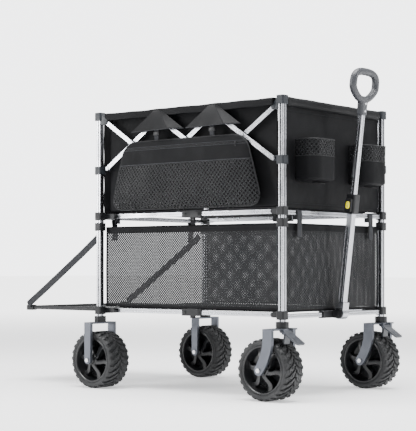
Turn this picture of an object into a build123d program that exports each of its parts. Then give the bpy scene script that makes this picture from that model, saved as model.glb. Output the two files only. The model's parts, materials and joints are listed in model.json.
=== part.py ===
from build123d import *
import math
import os

# Folding camp wagon with an upper tub, a lower mesh basket and a tailgate.
# +X points to the pull handle, +Y to the left side, +Z up. The origin is on the ground,
# midway between the four corner posts. Every length is in millimetres.

# Corner posts and heights
POST_PITCH_X = 808.0
POST_PITCH_Y = 596.0
POST_WIDTH = 20.0
POST_WALL = 2.0
POST_EDGE_RADIUS = 3.0
POST_BORE_RADIUS = 1.0
WHEEL_RADIUS = 101.5
WHEEL_TO_COLLAR = 33.0
COLLAR_TO_LOWER_RAIL = 42.0
DECK_PITCH = 337.0
TUB_HEIGHT = 372.0

# Shallow grooves that run along every extruded bar
GROOVE_WIDTH = 3.0
GROOVE_DEPTH = 1.2

# Plastic fittings on the posts
FITTING_WIDTH = 30.0
FITTING_HEIGHT = 28.0
FITTING_RADIUS = 5.0
CAP_HEIGHT = 29.0
CAP_ROOF = 5.0
CAP_EDGE_RADIUS = 2.5
CAP_GUSSET_DROP = 3.0
CAP_GUSSET_RISE = 4.0
CAP_SLOT_CLEARANCE = 2.0
COLLAR_RADIUS = 22.0
COLLAR_HEIGHT = 21.0
COLLAR_SEAT = 10.0

# Pins and rivets
PIN_RADIUS = 3.0
PIN_FIT = 0.1
HEAD_RADIUS = 5.5
HEAD_THICKNESS = 2.0
LOW_HEAD_THICKNESS = 1.0
BACK_HEAD_THICKNESS = 1.5
SIDE_GAP = 0.4

# Side rails that fold upward at the middle
RAIL_INSET = 35.0
RAIL_THICKNESS = 10.0
RAIL_HEIGHT = 15.0
RAIL_PIVOT_SETBACK = 48.0
CENTRE_PIVOT_OFFSET = 30.0
CENTRE_BRACKET_LENGTH = 84.0
CENTRE_BLOCK_LENGTH = 34.0
CHEEK_THICKNESS = 3.0
BRACKET_ROOF_GAP = 1.1
BRACKET_SKIRT = 4.5
TAB_LENGTH = 16.0
TAB_DROP = 8.0
BRACKET_EDGE_RADIUS = 1.2

# Side scissors
LINK_WIDTH = 15.0
LINK_THICKNESS = 7.0
LINK_PIVOT_SETBACK = 34.0
LINK_TOP_BELOW_FRAME = 35.0
SCISSOR_HEIGHT = 166.0
LUG_RADIUS = 9.0
SLIDER_FIT = 0.4
SLIDER_LUG_OVERLAP = 3.0

# Cross rails at both ends
CROSS_RAIL_DEPTH = 13.0
CROSS_RAIL_HEIGHT = 15.0
CROSS_RAIL_DROP = 4.0
CROSS_RAIL_EDGE_RADIUS = 2.0
TOP_RAIL_RADIUS = 8.0
TOP_RAIL_WALL = 1.5
TOP_RAIL_BELOW_FRAME = 19.0

# Fabric
CLOTH = 3.0
MESH_CLOTH = 1.5
FRONT_MESH_INSET = 5.0
SIDE_MESH_SETBACK = 3.0
SIDE_MESH_INSET = 1.5
SLEEVE_DEPTH = 24.0
SLEEVE_HEIGHT = 37.0
SLEEVE_EDGE_RADIUS = 8.0
SLEEVE_FIT = 0.2
CLOTH_GAP = 0.5
PANEL_ABOVE_RAIL = 9.0
SIDE_WALL_INSET = 19.0
SIDE_WALL_ABOVE_RAIL = 17.0
HEM_BELOW_FRAME = 6.0
HEM_END_SETBACK = 32.0
SCISSOR_CLEARANCE = 4.4
FLAP_THICKNESS = 2.0
FLAP_HEIGHT = 71.0
FLAP_BOTTOM_WIDTH = 182.0
FLAP_TOP_WIDTH = 96.0
BAG_DEPTH = 15.0
BAG_BELOW_FLAP = 40.0
BAG_ABOVE_RAIL = 19.0
BAG_TOP_SETBACK = 159.0
BAG_BOTTOM_SETBACK = 54.0
BAG_CORNER_RADIUS = 42.0
STRAP_WIDTH = 25.0
STRAP_THICKNESS = 2.0
HANG_STRAP_INSET = 83.0
HANG_STRAP_BELOW_HEM = 47.0
HANG_STRAP_ABOVE_RAIL = 6.0
BASKET_BELOW_RAIL = 38.0

# Cup holders on the front panel
CUP_PITCH = 316.0
CUP_WIDTH = 138.0
CUP_DEPTH = 84.0
CUP_CORNER_RADIUS = 38.0
CUP_BELOW_FRAME = 135.0
CUP_HEIGHT = 143.0
CUP_WALL = 2.5

# Deck boards, one half on each pair of folding rails
BOARD_THICKNESS = 5.0
BOARD_INSET = 8.0
BOARD_CENTRE_GAP = 5.0
BOARD_END_SETBACK = 26.0
BOARD_WING_GAP = 20.0
BOARD_WING_SETBACK = 74.0

# Wheels and forks
TYRE_WIDTH = 98.0
TYRE_SHOULDER = 13.0
TYRE_DEPTH = 21.5
RIM_THICKNESS = 8.0
RIM_INSET = 3.0
HUB_RADIUS = 17.0
HUB_PROUD = 3.0
WEB_THICKNESS = 8.0
SPOKE_COUNT = 6
SPOKE_THICKNESS = 5.0
SPOKE_INSET = 10.0
AXLE_RADIUS = 5.0
CASTER_TRAIL = 47.0
FORK_CLEARANCE = 2.5
FORK_LEG_DEPTH = 12.5
FORK_PLATE = 5.0
SWIVEL_GAP = 0.5
FORK_LEG_WIDTH = 36.0
FORK_FRONT_REACH = 16.0
FORK_FOOT_RADIUS = 16.5
FORK_PLATE_RADIUS = 8.0
FORK_BEND = 0.65
FORK_BACK_BOW = 5.0
FORK_FRONT_BOW = 7.0
HEEL_ANGLE = 25.0
SOLE_ANGLE = 65.0
TOE_ANGLE = 35.0
REAR_LEG_WIDTH = 30.0
REAR_FOOT_RADIUS = 14.0
REAR_PLATE_MARGIN = 6.0
REAR_PLATE_RADIUS = 6.0
REAR_LEG_SHOULDER = 24.0
STEM_RADIUS = 6.0
STEM_LENGTH = 26.5
BOLT_HEAD_RADIUS = 8.0
BOLT_HEAD_THICKNESS = 4.0

# Foot brake on each caster
BRAKE_PIVOT_AHEAD = 21.0
BRAKE_BELOW_PLATE = 12.5
BRAKE_PIN_RADIUS = 2.5
BRAKE_BARREL_RADIUS = 5.0
BRAKE_WIDTH = 44.0
BRAKE_PEDAL_LENGTH = 66.0
BRAKE_PEDAL_SLOPE = 34.0
BRAKE_PEDAL_THICKNESS = 5.0
BRAKE_SHOE_GAP = 1.5
BRAKE_STROKE = 20.0
BRAKE_SHOE_WIDTH = 30.0
BRAKE_EAR = 3.0
BRAKE_EAR_ROOT = 14.0
BRAKE_EAR_TOE = 6.0
BRAKE_EAR_MARGIN = 1.0
BRAKE_PEDAL_RADIUS = 8.0
BRAKE_PAD_START = 34.0
BRAKE_PAD_LENGTH = 24.0
BRAKE_PAD_WIDTH = 22.0
BRAKE_PAD_RISE = 1.0
BRAKE_PAD_BORDER = 4.0
BRAKE_SHOE_THICKNESS = 6.0

# Pull handle
HANDLE_AHEAD = 30.0
HANDLE_ABOVE_RAIL = 3.0
HANDLE_LEAN = 6.8
HANDLE_PIN_RADIUS = 4.0
LOWER_TUBE = 24.0
LOWER_TUBE_WALL = 1.8
LOWER_TUBE_LENGTH = 345.0
UPPER_TUBE = 19.4
UPPER_TUBE_WALL = 1.6
UPPER_TUBE_START = 283.0
UPPER_TUBE_END = 700.0
TUBE_EDGE_RADIUS = 4.0
CLAMP_START = 338.0
CLAMP_END = 402.0
CLAMP_WIDTH = 34.0
CLAMP_DEPTH = 36.0
CLAMP_RADIUS = 6.0
CLAMP_FIT = 0.8
LATCH_DEPTH = 11.0
LATCH_LENGTH = 44.0
LATCH_WIDTH = 22.0
LATCH_BELOW_MIDDLE = 4.0
LATCH_RADIUS = 4.0
LATCH_FLOOR = 2.0
BUTTON_LENGTH = 25.0
BUTTON_WIDTH = 13.0
BUTTON_PROUD = 4.0
BUTTON_STROKE = 3.0
BUTTON_FIT = 0.4
BUTTON_CLEARANCE = 0.5
BUTTON_EDGE_RADIUS = 1.5
GRIP_TOP = 824.0
GRIP_WIDTH = 160.0
GRIP_THICKNESS = 28.0
GRIP_BAR = 25.0
GRIP_NECK_START = 668.0
GRIP_NECK_WIDTH = 34.0
GRIP_LOOP_BOTTOM = 722.0
GRIP_LOOP_RADIUS = 7.0
FOOT_WIDTH = 34.0
FOOT_RADIUS = 19.0
FOOT_TOP = 30.0
FOOT_MARGIN = 6.0
FOOT_SOCKET = 20.0
YOKE_CHEEK = 5.0
YOKE_CLAMP_LENGTH = 96.0
YOKE_CLAMP_MARGIN = 4.0
YOKE_CLAMP_EXTRA = 30.0
YOKE_EDGE_RADIUS = 3.0
YOKE_EYE_INSET = 3.0
HANDLE_PIN_HEAD = 3.0

# Tailgate, shown let down
TAILGATE_HINGE_BEHIND = 21.0
TAILGATE_ABOVE_RAIL = 2.0
TAILGATE_LENGTH = 378.0
TAILGATE_TUBE_RADIUS = 7.0
TAILGATE_INSET = 36.0
TAILGATE_HALF_THICKNESS = 1.5
TAILGATE_BLOCK = 20.0
TAILGATE_EYE_RADIUS = 8.5
TAILGATE_BLOCK_PAST = 12.0
TAILGATE_BLOCK_GRIP = 22.0
TAILGATE_BLOCK_RADIUS = 4.0
TAILGATE_PANEL_SETBACK = 14.0
TAILGATE_STRAP_BELOW_HEM = 25.0
TAILGATE_STRAP_INSET = 22.0
TAILGATE_STRAP_BEHIND_POST = 4.0
TAILGATE_STRAP_ABOVE_FRAME = 14.0

# Places worked out from the sizes above
FRONT_X = POST_PITCH_X / 2
SIDE_Y = POST_PITCH_Y / 2
AXLE_Z = WHEEL_RADIUS
COLLAR_BOTTOM_Z = 2 * WHEEL_RADIUS + WHEEL_TO_COLLAR
LOWER_RAIL_Z = COLLAR_BOTTOM_Z + COLLAR_TO_LOWER_RAIL
UPPER_RAIL_Z = LOWER_RAIL_Z + DECK_PITCH
FRAME_TOP = UPPER_RAIL_Z + TUB_HEIGHT
BASKET_TOP_Z = UPPER_RAIL_Z - BASKET_BELOW_RAIL
TOP_RAIL_Z = FRAME_TOP - TOP_RAIL_BELOW_FRAME
LINK_TOP_Z = FRAME_TOP - LINK_TOP_BELOW_FRAME
LINK_BOTTOM_Z = LINK_TOP_Z - SCISSOR_HEIGHT
RAIL_Y = SIDE_Y - RAIL_INSET
RAIL_INNER = RAIL_Y - RAIL_THICKNESS / 2
RAIL_OUTER = RAIL_Y + RAIL_THICKNESS / 2
RAIL_PIVOT_X = FRONT_X - RAIL_PIVOT_SETBACK
LINK_PIVOT_X = FRONT_X - LINK_PIVOT_SETBACK
INNER_LAYER = (SIDE_Y - SIDE_GAP / 2 - LINK_THICKNESS, SIDE_Y - SIDE_GAP / 2)
OUTER_LAYER = (SIDE_Y + SIDE_GAP / 2, SIDE_Y + SIDE_GAP / 2 + LINK_THICKNESS)
FITTING_INNER_Y = SIDE_Y - FITTING_WIDTH / 2
FITTING_INNER_X = FRONT_X - FITTING_WIDTH / 2
UPPER_JOINT_X = LINK_PIVOT_X / 3
CROSSING_X = LINK_PIVOT_X * 2 / 3
CROSSING_Z = (LINK_TOP_Z + LINK_BOTTOM_Z) / 2
PANEL_BOTTOM_Z = UPPER_RAIL_Z + PANEL_ABOVE_RAIL
SIDE_WALL_Y = SIDE_Y - SIDE_WALL_INSET
SIDE_WALL_BOTTOM_Z = UPPER_RAIL_Z + SIDE_WALL_ABOVE_RAIL
HEM_TOP_Z = FRAME_TOP - HEM_BELOW_FRAME
FLAP_Y = OUTER_LAYER[1] + SCISSOR_CLEARANCE
FLAP_BOTTOM_Z = HEM_TOP_Z - FLAP_HEIGHT
BAG_Y = FLAP_Y
BAG_TOP_Z = FLAP_BOTTOM_Z - BAG_BELOW_FLAP
BAG_BOTTOM_Z = UPPER_RAIL_Z + BAG_ABOVE_RAIL
BAG_TOP_HALF = FRONT_X - BAG_TOP_SETBACK
BAG_BOTTOM_HALF = FRONT_X - BAG_BOTTOM_SETBACK
HANG_STRAP_Y = SIDE_Y - HANG_STRAP_INSET
HANG_STRAP_BOTTOM_Z = BASKET_TOP_Z - HANG_STRAP_BELOW_HEM
CUP_TOP_Z = FRAME_TOP - CUP_BELOW_FRAME
CUP_BOTTOM_Z = CUP_TOP_Z - CUP_HEIGHT
BOARD_HALF_WIDTH = RAIL_INNER - BOARD_INSET
BOARD_WING_START = CENTRE_BRACKET_LENGTH / 2 + BOARD_WING_GAP
BOARD_WING_END = FRONT_X - BOARD_WING_SETBACK
RIM_RADIUS = WHEEL_RADIUS - TYRE_DEPTH
RIM_WIDTH = TYRE_WIDTH - 2 * RIM_INSET
HUB_WIDTH = TYRE_WIDTH + 2 * HUB_PROUD
SPOKE_WIDTH = TYRE_WIDTH - 2 * SPOKE_INSET
FORK_INNER = HUB_WIDTH / 2 + FORK_CLEARANCE
FORK_OUTER = FORK_INNER + FORK_LEG_DEPTH
FORK_PLATE_TOP = COLLAR_BOTTOM_Z - SWIVEL_GAP
STEM_TOP_Z = FORK_PLATE_TOP + STEM_LENGTH
BRAKE_PIVOT_Z = FORK_PLATE_TOP - BRAKE_BELOW_PLATE
CROSS_RAIL_Z = LOWER_RAIL_Z - CROSS_RAIL_DROP
HANDLE_PIVOT_Z = CROSS_RAIL_Z + HANDLE_ABOVE_RAIL
TAILGATE_Z = LOWER_RAIL_Z + TAILGATE_ABOVE_RAIL
TAILGATE_HALF_WIDTH = SIDE_Y - TAILGATE_INSET
TAILGATE_STRAP_TOP_Z = BASKET_TOP_Z - TAILGATE_STRAP_BELOW_HEM
TAILGATE_STRAP_Y = SIDE_Y - TAILGATE_STRAP_INSET

os.makedirs("parts", exist_ok=True)


def upright(outline, z_low, z_high):
    """An outline in X and Y, given height."""
    return Pos(0, 0, z_low) * extrude(outline, amount=z_high - z_low)


def across(outline, y_low, y_high):
    """An outline in X and Z, given width along Y."""
    return Pos(0, y_high, 0) * extrude(Plane.XZ * outline, amount=y_high - y_low)


def along(outline, x_low, x_high):
    """An outline in Y and Z, given length along X."""
    return Pos(x_low, 0, 0) * extrude(Plane.YZ * outline, amount=x_high - x_low)


def span(x_low, x_high, y_low, y_high, z_low, z_high):
    """A plain block between six faces."""
    size = Box(x_high - x_low, y_high - y_low, z_high - z_low)
    return Pos((x_low + x_high) / 2, (y_low + y_high) / 2, (z_low + z_high) / 2) * size


def pin(radius, x, z, y_low, y_high):
    """A round pin along Y."""
    return across(Pos(x, z) * Circle(radius), y_low, y_high)


def rivet(x, z, y_low, y_high):
    """A headed pin: the head sits outside y_high."""
    return pin(PIN_RADIUS, x, z, y_low, y_high) + pin(HEAD_RADIUS, x, z, y_high, y_high + HEAD_THICKNESS)


def left_and_right(shape):
    """A shape on the left side and its twin on the right."""
    return [shape, mirror(shape, about=Plane.XZ)]


def rear_twin(shape):
    """The same shape at the other end of the wagon."""
    return mirror(shape, about=Plane.YZ)


def save(name, *pieces):
    """Writes one named sub-part; a list is a group of separate solids."""
    solids = []
    for piece in pieces:
        for shape in piece if isinstance(piece, list) else [piece]:
            solids.extend(shape.solids())
    whole = solids[0] if len(solids) == 1 else Compound(solids)
    export_step(whole, f"parts/{name}.step")


# ---------------------------------------------------------------- posts and fittings


def post_outline():
    """Rounded square with one groove down each face."""
    outline = RectangleRounded(POST_WIDTH, POST_WIDTH, POST_EDGE_RADIUS)
    for turn in range(4):
        groove = Pos(POST_WIDTH / 2, 0) * Rectangle(2 * GROOVE_DEPTH, GROOVE_WIDTH)
        outline -= Rot(0, 0, 90 * turn) * groove
    return outline


def post():
    """Hollow post at the origin, from its seat in the collar up into the cap."""
    inner = POST_WIDTH - 2 * (POST_WALL + GROOVE_DEPTH)
    hollow = RectangleRounded(inner, inner, POST_BORE_RADIUS)
    return upright(post_outline() - hollow, COLLAR_BOTTOM_Z + COLLAR_SEAT, FRAME_TOP - CAP_ROOF)


def fitting(z_middle, height):
    """Plastic sleeve round a post, at the origin."""
    outline = RectangleRounded(FITTING_WIDTH, FITTING_WIDTH, FITTING_RADIUS)
    return upright(outline - post_outline(), z_middle - height / 2, z_middle + height / 2)


def collar():
    """Eight-sided foot of a post, bored for the stem of the fork."""
    outline = Rot(0, 0, 22.5) * RegularPolygon(COLLAR_RADIUS, 8)
    seat = COLLAR_BOTTOM_Z + COLLAR_SEAT
    base = upright(outline - Circle(STEM_RADIUS + PIN_FIT), COLLAR_BOTTOM_Z, seat)
    wall = upright(outline - post_outline(), seat, COLLAR_BOTTOM_Z + COLLAR_HEIGHT)
    return base + wall


def at_front_left(shape):
    return Pos(FRONT_X, SIDE_Y, 0) * shape


def rail_arm(z):
    """Arm that reaches inward from a front left fitting to the pivot of a side rail."""
    outline = Pos(RAIL_PIVOT_X, z) * Circle(LUG_RADIUS)
    reach = FITTING_INNER_X + CROSS_RAIL_DEPTH / 2 - RAIL_PIVOT_X
    outline += Pos(RAIL_PIVOT_X + reach / 2, z) * Rectangle(reach, 2 * LUG_RADIUS)
    arm = across(outline, RAIL_OUTER + SIDE_GAP, FITTING_INNER_Y + POST_WALL)
    arm -= at_front_left(upright(post_outline(), z - FITTING_HEIGHT, z + FITTING_HEIGHT))
    return arm


def rail_fitting(z):
    return at_front_left(fitting(z, FITTING_HEIGHT)) + rail_arm(z)


def rail_end_pin(z):
    """Pin that a side rail turns on, headed on the inside."""
    shank = pin(PIN_RADIUS, RAIL_PIVOT_X, z, RAIL_INNER - SIDE_GAP, RAIL_OUTER + SIDE_GAP)
    head = pin(HEAD_RADIUS, RAIL_PIVOT_X, z, RAIL_INNER - SIDE_GAP - HEAD_THICKNESS, RAIL_INNER - SIDE_GAP)
    return shank + head


def post_fittings():
    """Left and right fittings of the front posts: rails, basket and collar."""
    pieces = []
    for z in (UPPER_RAIL_Z, LOWER_RAIL_Z):
        pieces += left_and_right(rail_fitting(z))
        pieces += left_and_right(rail_end_pin(z))
    pieces += left_and_right(at_front_left(fitting(BASKET_TOP_Z, FITTING_HEIGHT)))
    pieces += left_and_right(at_front_left(collar()))
    return pieces


def cap(layer):
    """Front left corner cap, with a slotted wing for the link that runs in that layer."""
    outline = RectangleRounded(FITTING_WIDTH, FITTING_WIDTH, FITTING_RADIUS)
    body = upright(outline, FRAME_TOP - CAP_HEIGHT, FRAME_TOP)
    body = fillet(body.edges().group_by(Axis.Z)[-1], CAP_EDGE_RADIUS)
    body = at_front_left(body)
    tip = FITTING_INNER_X + CROSS_RAIL_DEPTH / 2
    gusset = Polygon(
        (LINK_PIVOT_X, LINK_TOP_Z - LUG_RADIUS),
        (tip, LINK_TOP_Z - LUG_RADIUS),
        (tip, FRAME_TOP - CAP_GUSSET_DROP),
        (FITTING_INNER_X, FRAME_TOP - CAP_GUSSET_DROP),
        (LINK_PIVOT_X - LUG_RADIUS, LINK_TOP_Z + CAP_GUSSET_RISE),
        align=None,
    )
    gusset += Pos(LINK_PIVOT_X, LINK_TOP_Z) * Circle(LUG_RADIUS)
    wing = across(gusset, layer[0] - LINK_THICKNESS, layer[1] + CHEEK_THICKNESS)
    slot_end = FITTING_INNER_X - 1
    slot = span(
        LINK_PIVOT_X - 2 * LUG_RADIUS, slot_end,
        layer[0] - SIDE_GAP, layer[1] + SIDE_GAP,
        LINK_TOP_Z - 2 * LUG_RADIUS, LINK_TOP_Z + LINK_WIDTH / 2 + CAP_SLOT_CLEARANCE,
    )
    whole = body + (wing - slot)
    return whole - at_front_left(upright(post_outline(), COLLAR_BOTTOM_Z, FRAME_TOP - CAP_ROOF))


def cap_pin(layer):
    """Pin through the wing of a cap."""
    face = layer[1] + CHEEK_THICKNESS
    shank = pin(PIN_RADIUS, LINK_PIVOT_X, LINK_TOP_Z, layer[0] - LINK_THICKNESS / 2, face)
    return shank + pin(HEAD_RADIUS, LINK_PIVOT_X, LINK_TOP_Z, face, face + LOW_HEAD_THICKNESS)


def cap_with_pin(layer):
    hole = pin(PIN_RADIUS, LINK_PIVOT_X, LINK_TOP_Z, layer[0] - LINK_THICKNESS / 2, layer[1] + LINK_THICKNESS)
    return left_and_right(cap(layer) - hole) + left_and_right(cap_pin(layer))


def slider(lug_outer):
    """Sleeve that slides on a front left post, with a lug beside the end of its link."""
    opening = offset(post_outline(), SLIDER_FIT)
    outline = RectangleRounded(FITTING_WIDTH, FITTING_WIDTH, FITTING_RADIUS)
    middle = LINK_BOTTOM_Z - FITTING_HEIGHT / 4
    sleeve = upright(outline, middle - FITTING_HEIGHT / 2, middle + FITTING_HEIGHT / 2)
    reach = FITTING_INNER_X + SLIDER_LUG_OVERLAP - LINK_PIVOT_X
    lug = Pos(LINK_PIVOT_X, LINK_BOTTOM_Z) * Circle(LUG_RADIUS)
    lug += Pos(LINK_PIVOT_X + reach / 2, LINK_BOTTOM_Z - LUG_RADIUS / 2) * Rectangle(reach, LUG_RADIUS)
    whole = at_front_left(sleeve) + across(lug, FITTING_INNER_Y + 1, lug_outer - SIDE_GAP)
    return whole - at_front_left(upright(opening, LINK_BOTTOM_Z - FITTING_HEIGHT, LINK_BOTTOM_Z + FITTING_HEIGHT))


def cross_rail_outline():
    return RectangleRounded(CROSS_RAIL_DEPTH, CROSS_RAIL_HEIGHT, CROSS_RAIL_EDGE_RADIUS)


def cross_rails():
    """Top, upper deck and lower deck rails between the two front posts."""
    half = FITTING_INNER_Y
    tube = Circle(TOP_RAIL_RADIUS) - Circle(TOP_RAIL_RADIUS - TOP_RAIL_WALL)
    rails = [across(Pos(FRONT_X, TOP_RAIL_Z) * tube, -half, half)]
    bar_outline = cross_rail_outline()
    groove = Pos(CROSS_RAIL_DEPTH / 2, 0) * Rectangle(2 * GROOVE_DEPTH, GROOVE_WIDTH)
    for z in (UPPER_RAIL_Z, LOWER_RAIL_Z):
        rails.append(across(Pos(FRONT_X, z - CROSS_RAIL_DROP) * (bar_outline - groove), -half, half))
    return rails


# ---------------------------------------------------------------- folding rails and scissors


def bar(start, end, width, y_low, y_high, holes):
    """Flat bar between two pivots in X and Z, grooved on its outer face, with (x, z, radius) holes."""
    length = math.dist(start, end)
    turn = math.degrees(math.atan2(end[1] - start[1], end[0] - start[0]))
    middle = Pos((start[0] + end[0]) / 2, (start[1] + end[1]) / 2) * Rot(0, 0, turn)
    body = across(middle * SlotCenterToCenter(length, width), y_low, y_high)
    groove = middle * SlotCenterToCenter(length - 3 * width, GROOVE_WIDTH)
    body -= across(groove, y_high - GROOVE_DEPTH / 2, y_high + 1)
    for x, z, radius in holes:
        body -= pin(radius, x, z, y_low - 1, y_high + 1)
    return body


def rail_half(z):
    """Front left half of a side rail, from the post pivot to the centre bracket."""
    start = (CENTRE_PIVOT_OFFSET, z)
    end = (RAIL_PIVOT_X, z)
    holes = [(*start, PIN_RADIUS + PIN_FIT), (*end, PIN_RADIUS + PIN_FIT)]
    return bar(start, end, RAIL_HEIGHT, RAIL_INNER, RAIL_OUTER, holes)


def centre_bracket(z):
    """Left bracket that both rail halves fold in, open below, with a tab under its middle."""
    inside = RAIL_INNER - SIDE_GAP
    outside = RAIL_OUTER + SIDE_GAP
    low = z - RAIL_HEIGHT / 2 - BRACKET_SKIRT
    roof = z + RAIL_HEIGHT / 2 + BRACKET_ROOF_GAP
    half = CENTRE_BRACKET_LENGTH / 2
    whole = span(-half, half, inside - CHEEK_THICKNESS, outside + CHEEK_THICKNESS, low, roof + CHEEK_THICKNESS)
    for end in (-1, 1):
        near, far = sorted((end * CENTRE_BLOCK_LENGTH / 2, end * (half + 1)))
        whole -= span(near, far, inside, outside, low - 1, roof)
    upright_edges = whole.edges().filter_by(Axis.Y).filter_by(lambda e: abs(e.center().X) > half - 1)
    whole = fillet(upright_edges, BRACKET_EDGE_RADIUS)
    tab = span(-TAB_LENGTH / 2, TAB_LENGTH / 2, inside, outside, low - TAB_DROP, low)
    return whole + (tab - pin(TAB_DROP / 4, 0, low - TAB_DROP / 2, inside - 1, outside + 1))


def centre_pins(z):
    """The two rivets of a left centre bracket, headed on both sides."""
    inside = RAIL_INNER - SIDE_GAP - CHEEK_THICKNESS
    outside = RAIL_OUTER + SIDE_GAP + CHEEK_THICKNESS
    pins = []
    for x in (-CENTRE_PIVOT_OFFSET, CENTRE_PIVOT_OFFSET):
        pins.append(rivet(x, z, inside, outside) + pin(HEAD_RADIUS, x, z, inside - BACK_HEAD_THICKNESS, inside))
    return pins


def centre_group(z):
    """Both centre brackets of a deck, with their rivets."""
    bored = centre_bracket(z)
    for x in (-CENTRE_PIVOT_OFFSET, CENTRE_PIVOT_OFFSET):
        bored -= pin(PIN_RADIUS, x, z, 0, SIDE_Y)
    pieces = left_and_right(bored)
    for shank in centre_pins(z):
        pieces += left_and_right(shank)
    return pieces


REAR_TOP = (-LINK_PIVOT_X, LINK_TOP_Z)
FRONT_TOP = (LINK_PIVOT_X, LINK_TOP_Z)
REAR_BOTTOM = (-LINK_PIVOT_X, LINK_BOTTOM_Z)
FRONT_BOTTOM = (LINK_PIVOT_X, LINK_BOTTOM_Z)
REAR_UPPER = (-UPPER_JOINT_X, LINK_TOP_Z)
FRONT_UPPER = (UPPER_JOINT_X, LINK_TOP_Z)
REAR_LOWER = (-UPPER_JOINT_X, LINK_BOTTOM_Z)
FRONT_LOWER = (UPPER_JOINT_X, LINK_BOTTOM_Z)
REAR_CROSSING = (-CROSSING_X, CROSSING_Z)
MIDDLE_CROSSING = (0.0, CROSSING_Z)
FRONT_CROSSING = (CROSSING_X, CROSSING_Z)


def link(start, end, layer, carried=(), turned_on=()):
    """A scissor link: it carries rivets at some joints and turns on its neighbours' rivets at others."""
    holes = [(*place, PIN_RADIUS) for place in carried]
    holes += [(*place, PIN_RADIUS + PIN_FIT) for place in turned_on]
    return bar(start, end, LINK_WIDTH, *layer, holes)


def link_group(start, end, layer, through=(), flush=(), turned_on=()):
    """Left and right links with their rivets. A through rivet also holds the link in the other layer."""
    pieces = left_and_right(link(start, end, layer, [*through, *flush], turned_on))
    for place in through:
        pieces += left_and_right(rivet(*place, INNER_LAYER[0], OUTER_LAYER[1]))
    for place in flush:
        pieces += left_and_right(rivet(*place, *layer))
    return pieces


# ---------------------------------------------------------------- soft goods and boards


def end_panel():
    """Front end of the tub: a padded sleeve round the top rail and the panel below it."""
    half = FITTING_INNER_Y - CLOTH_GAP
    sleeve_z = FRAME_TOP - SLEEVE_HEIGHT / 2
    outline = RectangleRounded(SLEEVE_DEPTH, SLEEVE_HEIGHT, SLEEVE_EDGE_RADIUS)
    sleeve = across(Pos(FRONT_X, sleeve_z) * outline, -half, half)
    back = FRONT_X - CLOTH * 5 / 3
    panel = span(back, back + CLOTH, -half, half, PANEL_BOTTOM_Z, sleeve_z)
    return (sleeve + panel) - pin(TOP_RAIL_RADIUS + SLEEVE_FIT, FRONT_X, TOP_RAIL_Z, -half - 1, half + 1)


def cup_holder(y):
    """Open-topped pocket on the outside of the front panel."""
    back = FRONT_X - CLOTH * 2 / 3 + CLOTH_GAP
    centre = Pos(back + CUP_DEPTH / 2, y)
    outside = centre * RectangleRounded(CUP_DEPTH, CUP_WIDTH, CUP_CORNER_RADIUS)
    inside = centre * RectangleRounded(
        CUP_DEPTH - 2 * CUP_WALL, CUP_WIDTH - 2 * CUP_WALL, CUP_CORNER_RADIUS - CUP_WALL
    )
    return upright(outside, CUP_BOTTOM_Z, CUP_TOP_Z) - upright(inside, CUP_BOTTOM_Z + CUP_WALL, CUP_TOP_Z + 1)


def front_mesh():
    """Mesh end of the lower basket, between the lower rail and the basket hem."""
    half = FITTING_INNER_Y - CLOTH_GAP
    low = CROSS_RAIL_Z + CROSS_RAIL_HEIGHT / 2 + YOKE_CLAMP_MARGIN + CLOTH_GAP
    back = FRONT_X - FRONT_MESH_INSET
    return span(back, back + MESH_CLOTH, -half, half, low, BASKET_TOP_Z)


def hang_strap():
    """Left webbing strap that hangs the basket hem from the upper cross rail."""
    face = FRONT_X + CROSS_RAIL_DEPTH / 2 + CLOTH_GAP
    low = HANG_STRAP_Y - STRAP_WIDTH / 2
    return span(face, face + STRAP_THICKNESS, low, low + STRAP_WIDTH, HANG_STRAP_BOTTOM_Z,
                UPPER_RAIL_Z + HANG_STRAP_ABOVE_RAIL)


def side_wall():
    """Left wall of the tub with its hem over the scissors and the two flaps that hang from the hem."""
    half = FRONT_X - HEM_END_SETBACK
    wall = span(-half, half, SIDE_WALL_Y, SIDE_WALL_Y + CLOTH, SIDE_WALL_BOTTOM_Z, HEM_TOP_Z)
    hem = span(-half, half, SIDE_WALL_Y, FLAP_Y + FLAP_THICKNESS, HEM_TOP_Z - 2 * CLOTH, HEM_TOP_Z)
    whole = wall + hem
    for x in (-UPPER_JOINT_X, UPPER_JOINT_X):
        flap = Polygon(
            (x - FLAP_BOTTOM_WIDTH / 2, FLAP_BOTTOM_Z),
            (x + FLAP_BOTTOM_WIDTH / 2, FLAP_BOTTOM_Z),
            (x + FLAP_TOP_WIDTH / 2, HEM_TOP_Z - CLOTH),
            (x - FLAP_TOP_WIDTH / 2, HEM_TOP_Z - CLOTH),
            align=None,
        )
        whole += across(flap, FLAP_Y, FLAP_Y + FLAP_THICKNESS)
    return whole


def side_mesh():
    """Left mesh side of the lower basket."""
    half = FITTING_INNER_X - SIDE_MESH_SETBACK
    low = LOWER_RAIL_Z + RAIL_HEIGHT
    y = FITTING_INNER_Y + SIDE_MESH_INSET
    return span(-half, half, y, y + MESH_CLOTH, low, BASKET_TOP_Z)


def side_bag():
    """Storage bag on the right side, wider at the bottom, outside the scissors."""
    outline = Polygon(
        (-BAG_BOTTOM_HALF, BAG_BOTTOM_Z),
        (BAG_BOTTOM_HALF, BAG_BOTTOM_Z),
        (BAG_TOP_HALF, BAG_TOP_Z),
        (-BAG_TOP_HALF, BAG_TOP_Z),
        align=None,
    )
    outline = fillet(outline.vertices(), BAG_CORNER_RADIUS)
    return across(outline, -BAG_Y - BAG_DEPTH, -BAG_Y)


def board(rail_z):
    """Front half of a deck, resting on the front halves of its side rails."""
    low = rail_z + RAIL_HEIGHT / 2
    end = FRONT_X - BOARD_END_SETBACK
    middle = span(BOARD_CENTRE_GAP, end, -BOARD_HALF_WIDTH, BOARD_HALF_WIDTH, low, low + BOARD_THICKNESS)
    wings = span(BOARD_WING_START, BOARD_WING_END, -RAIL_OUTER, RAIL_OUTER, low, low + BOARD_THICKNESS)
    return middle + wings


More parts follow.
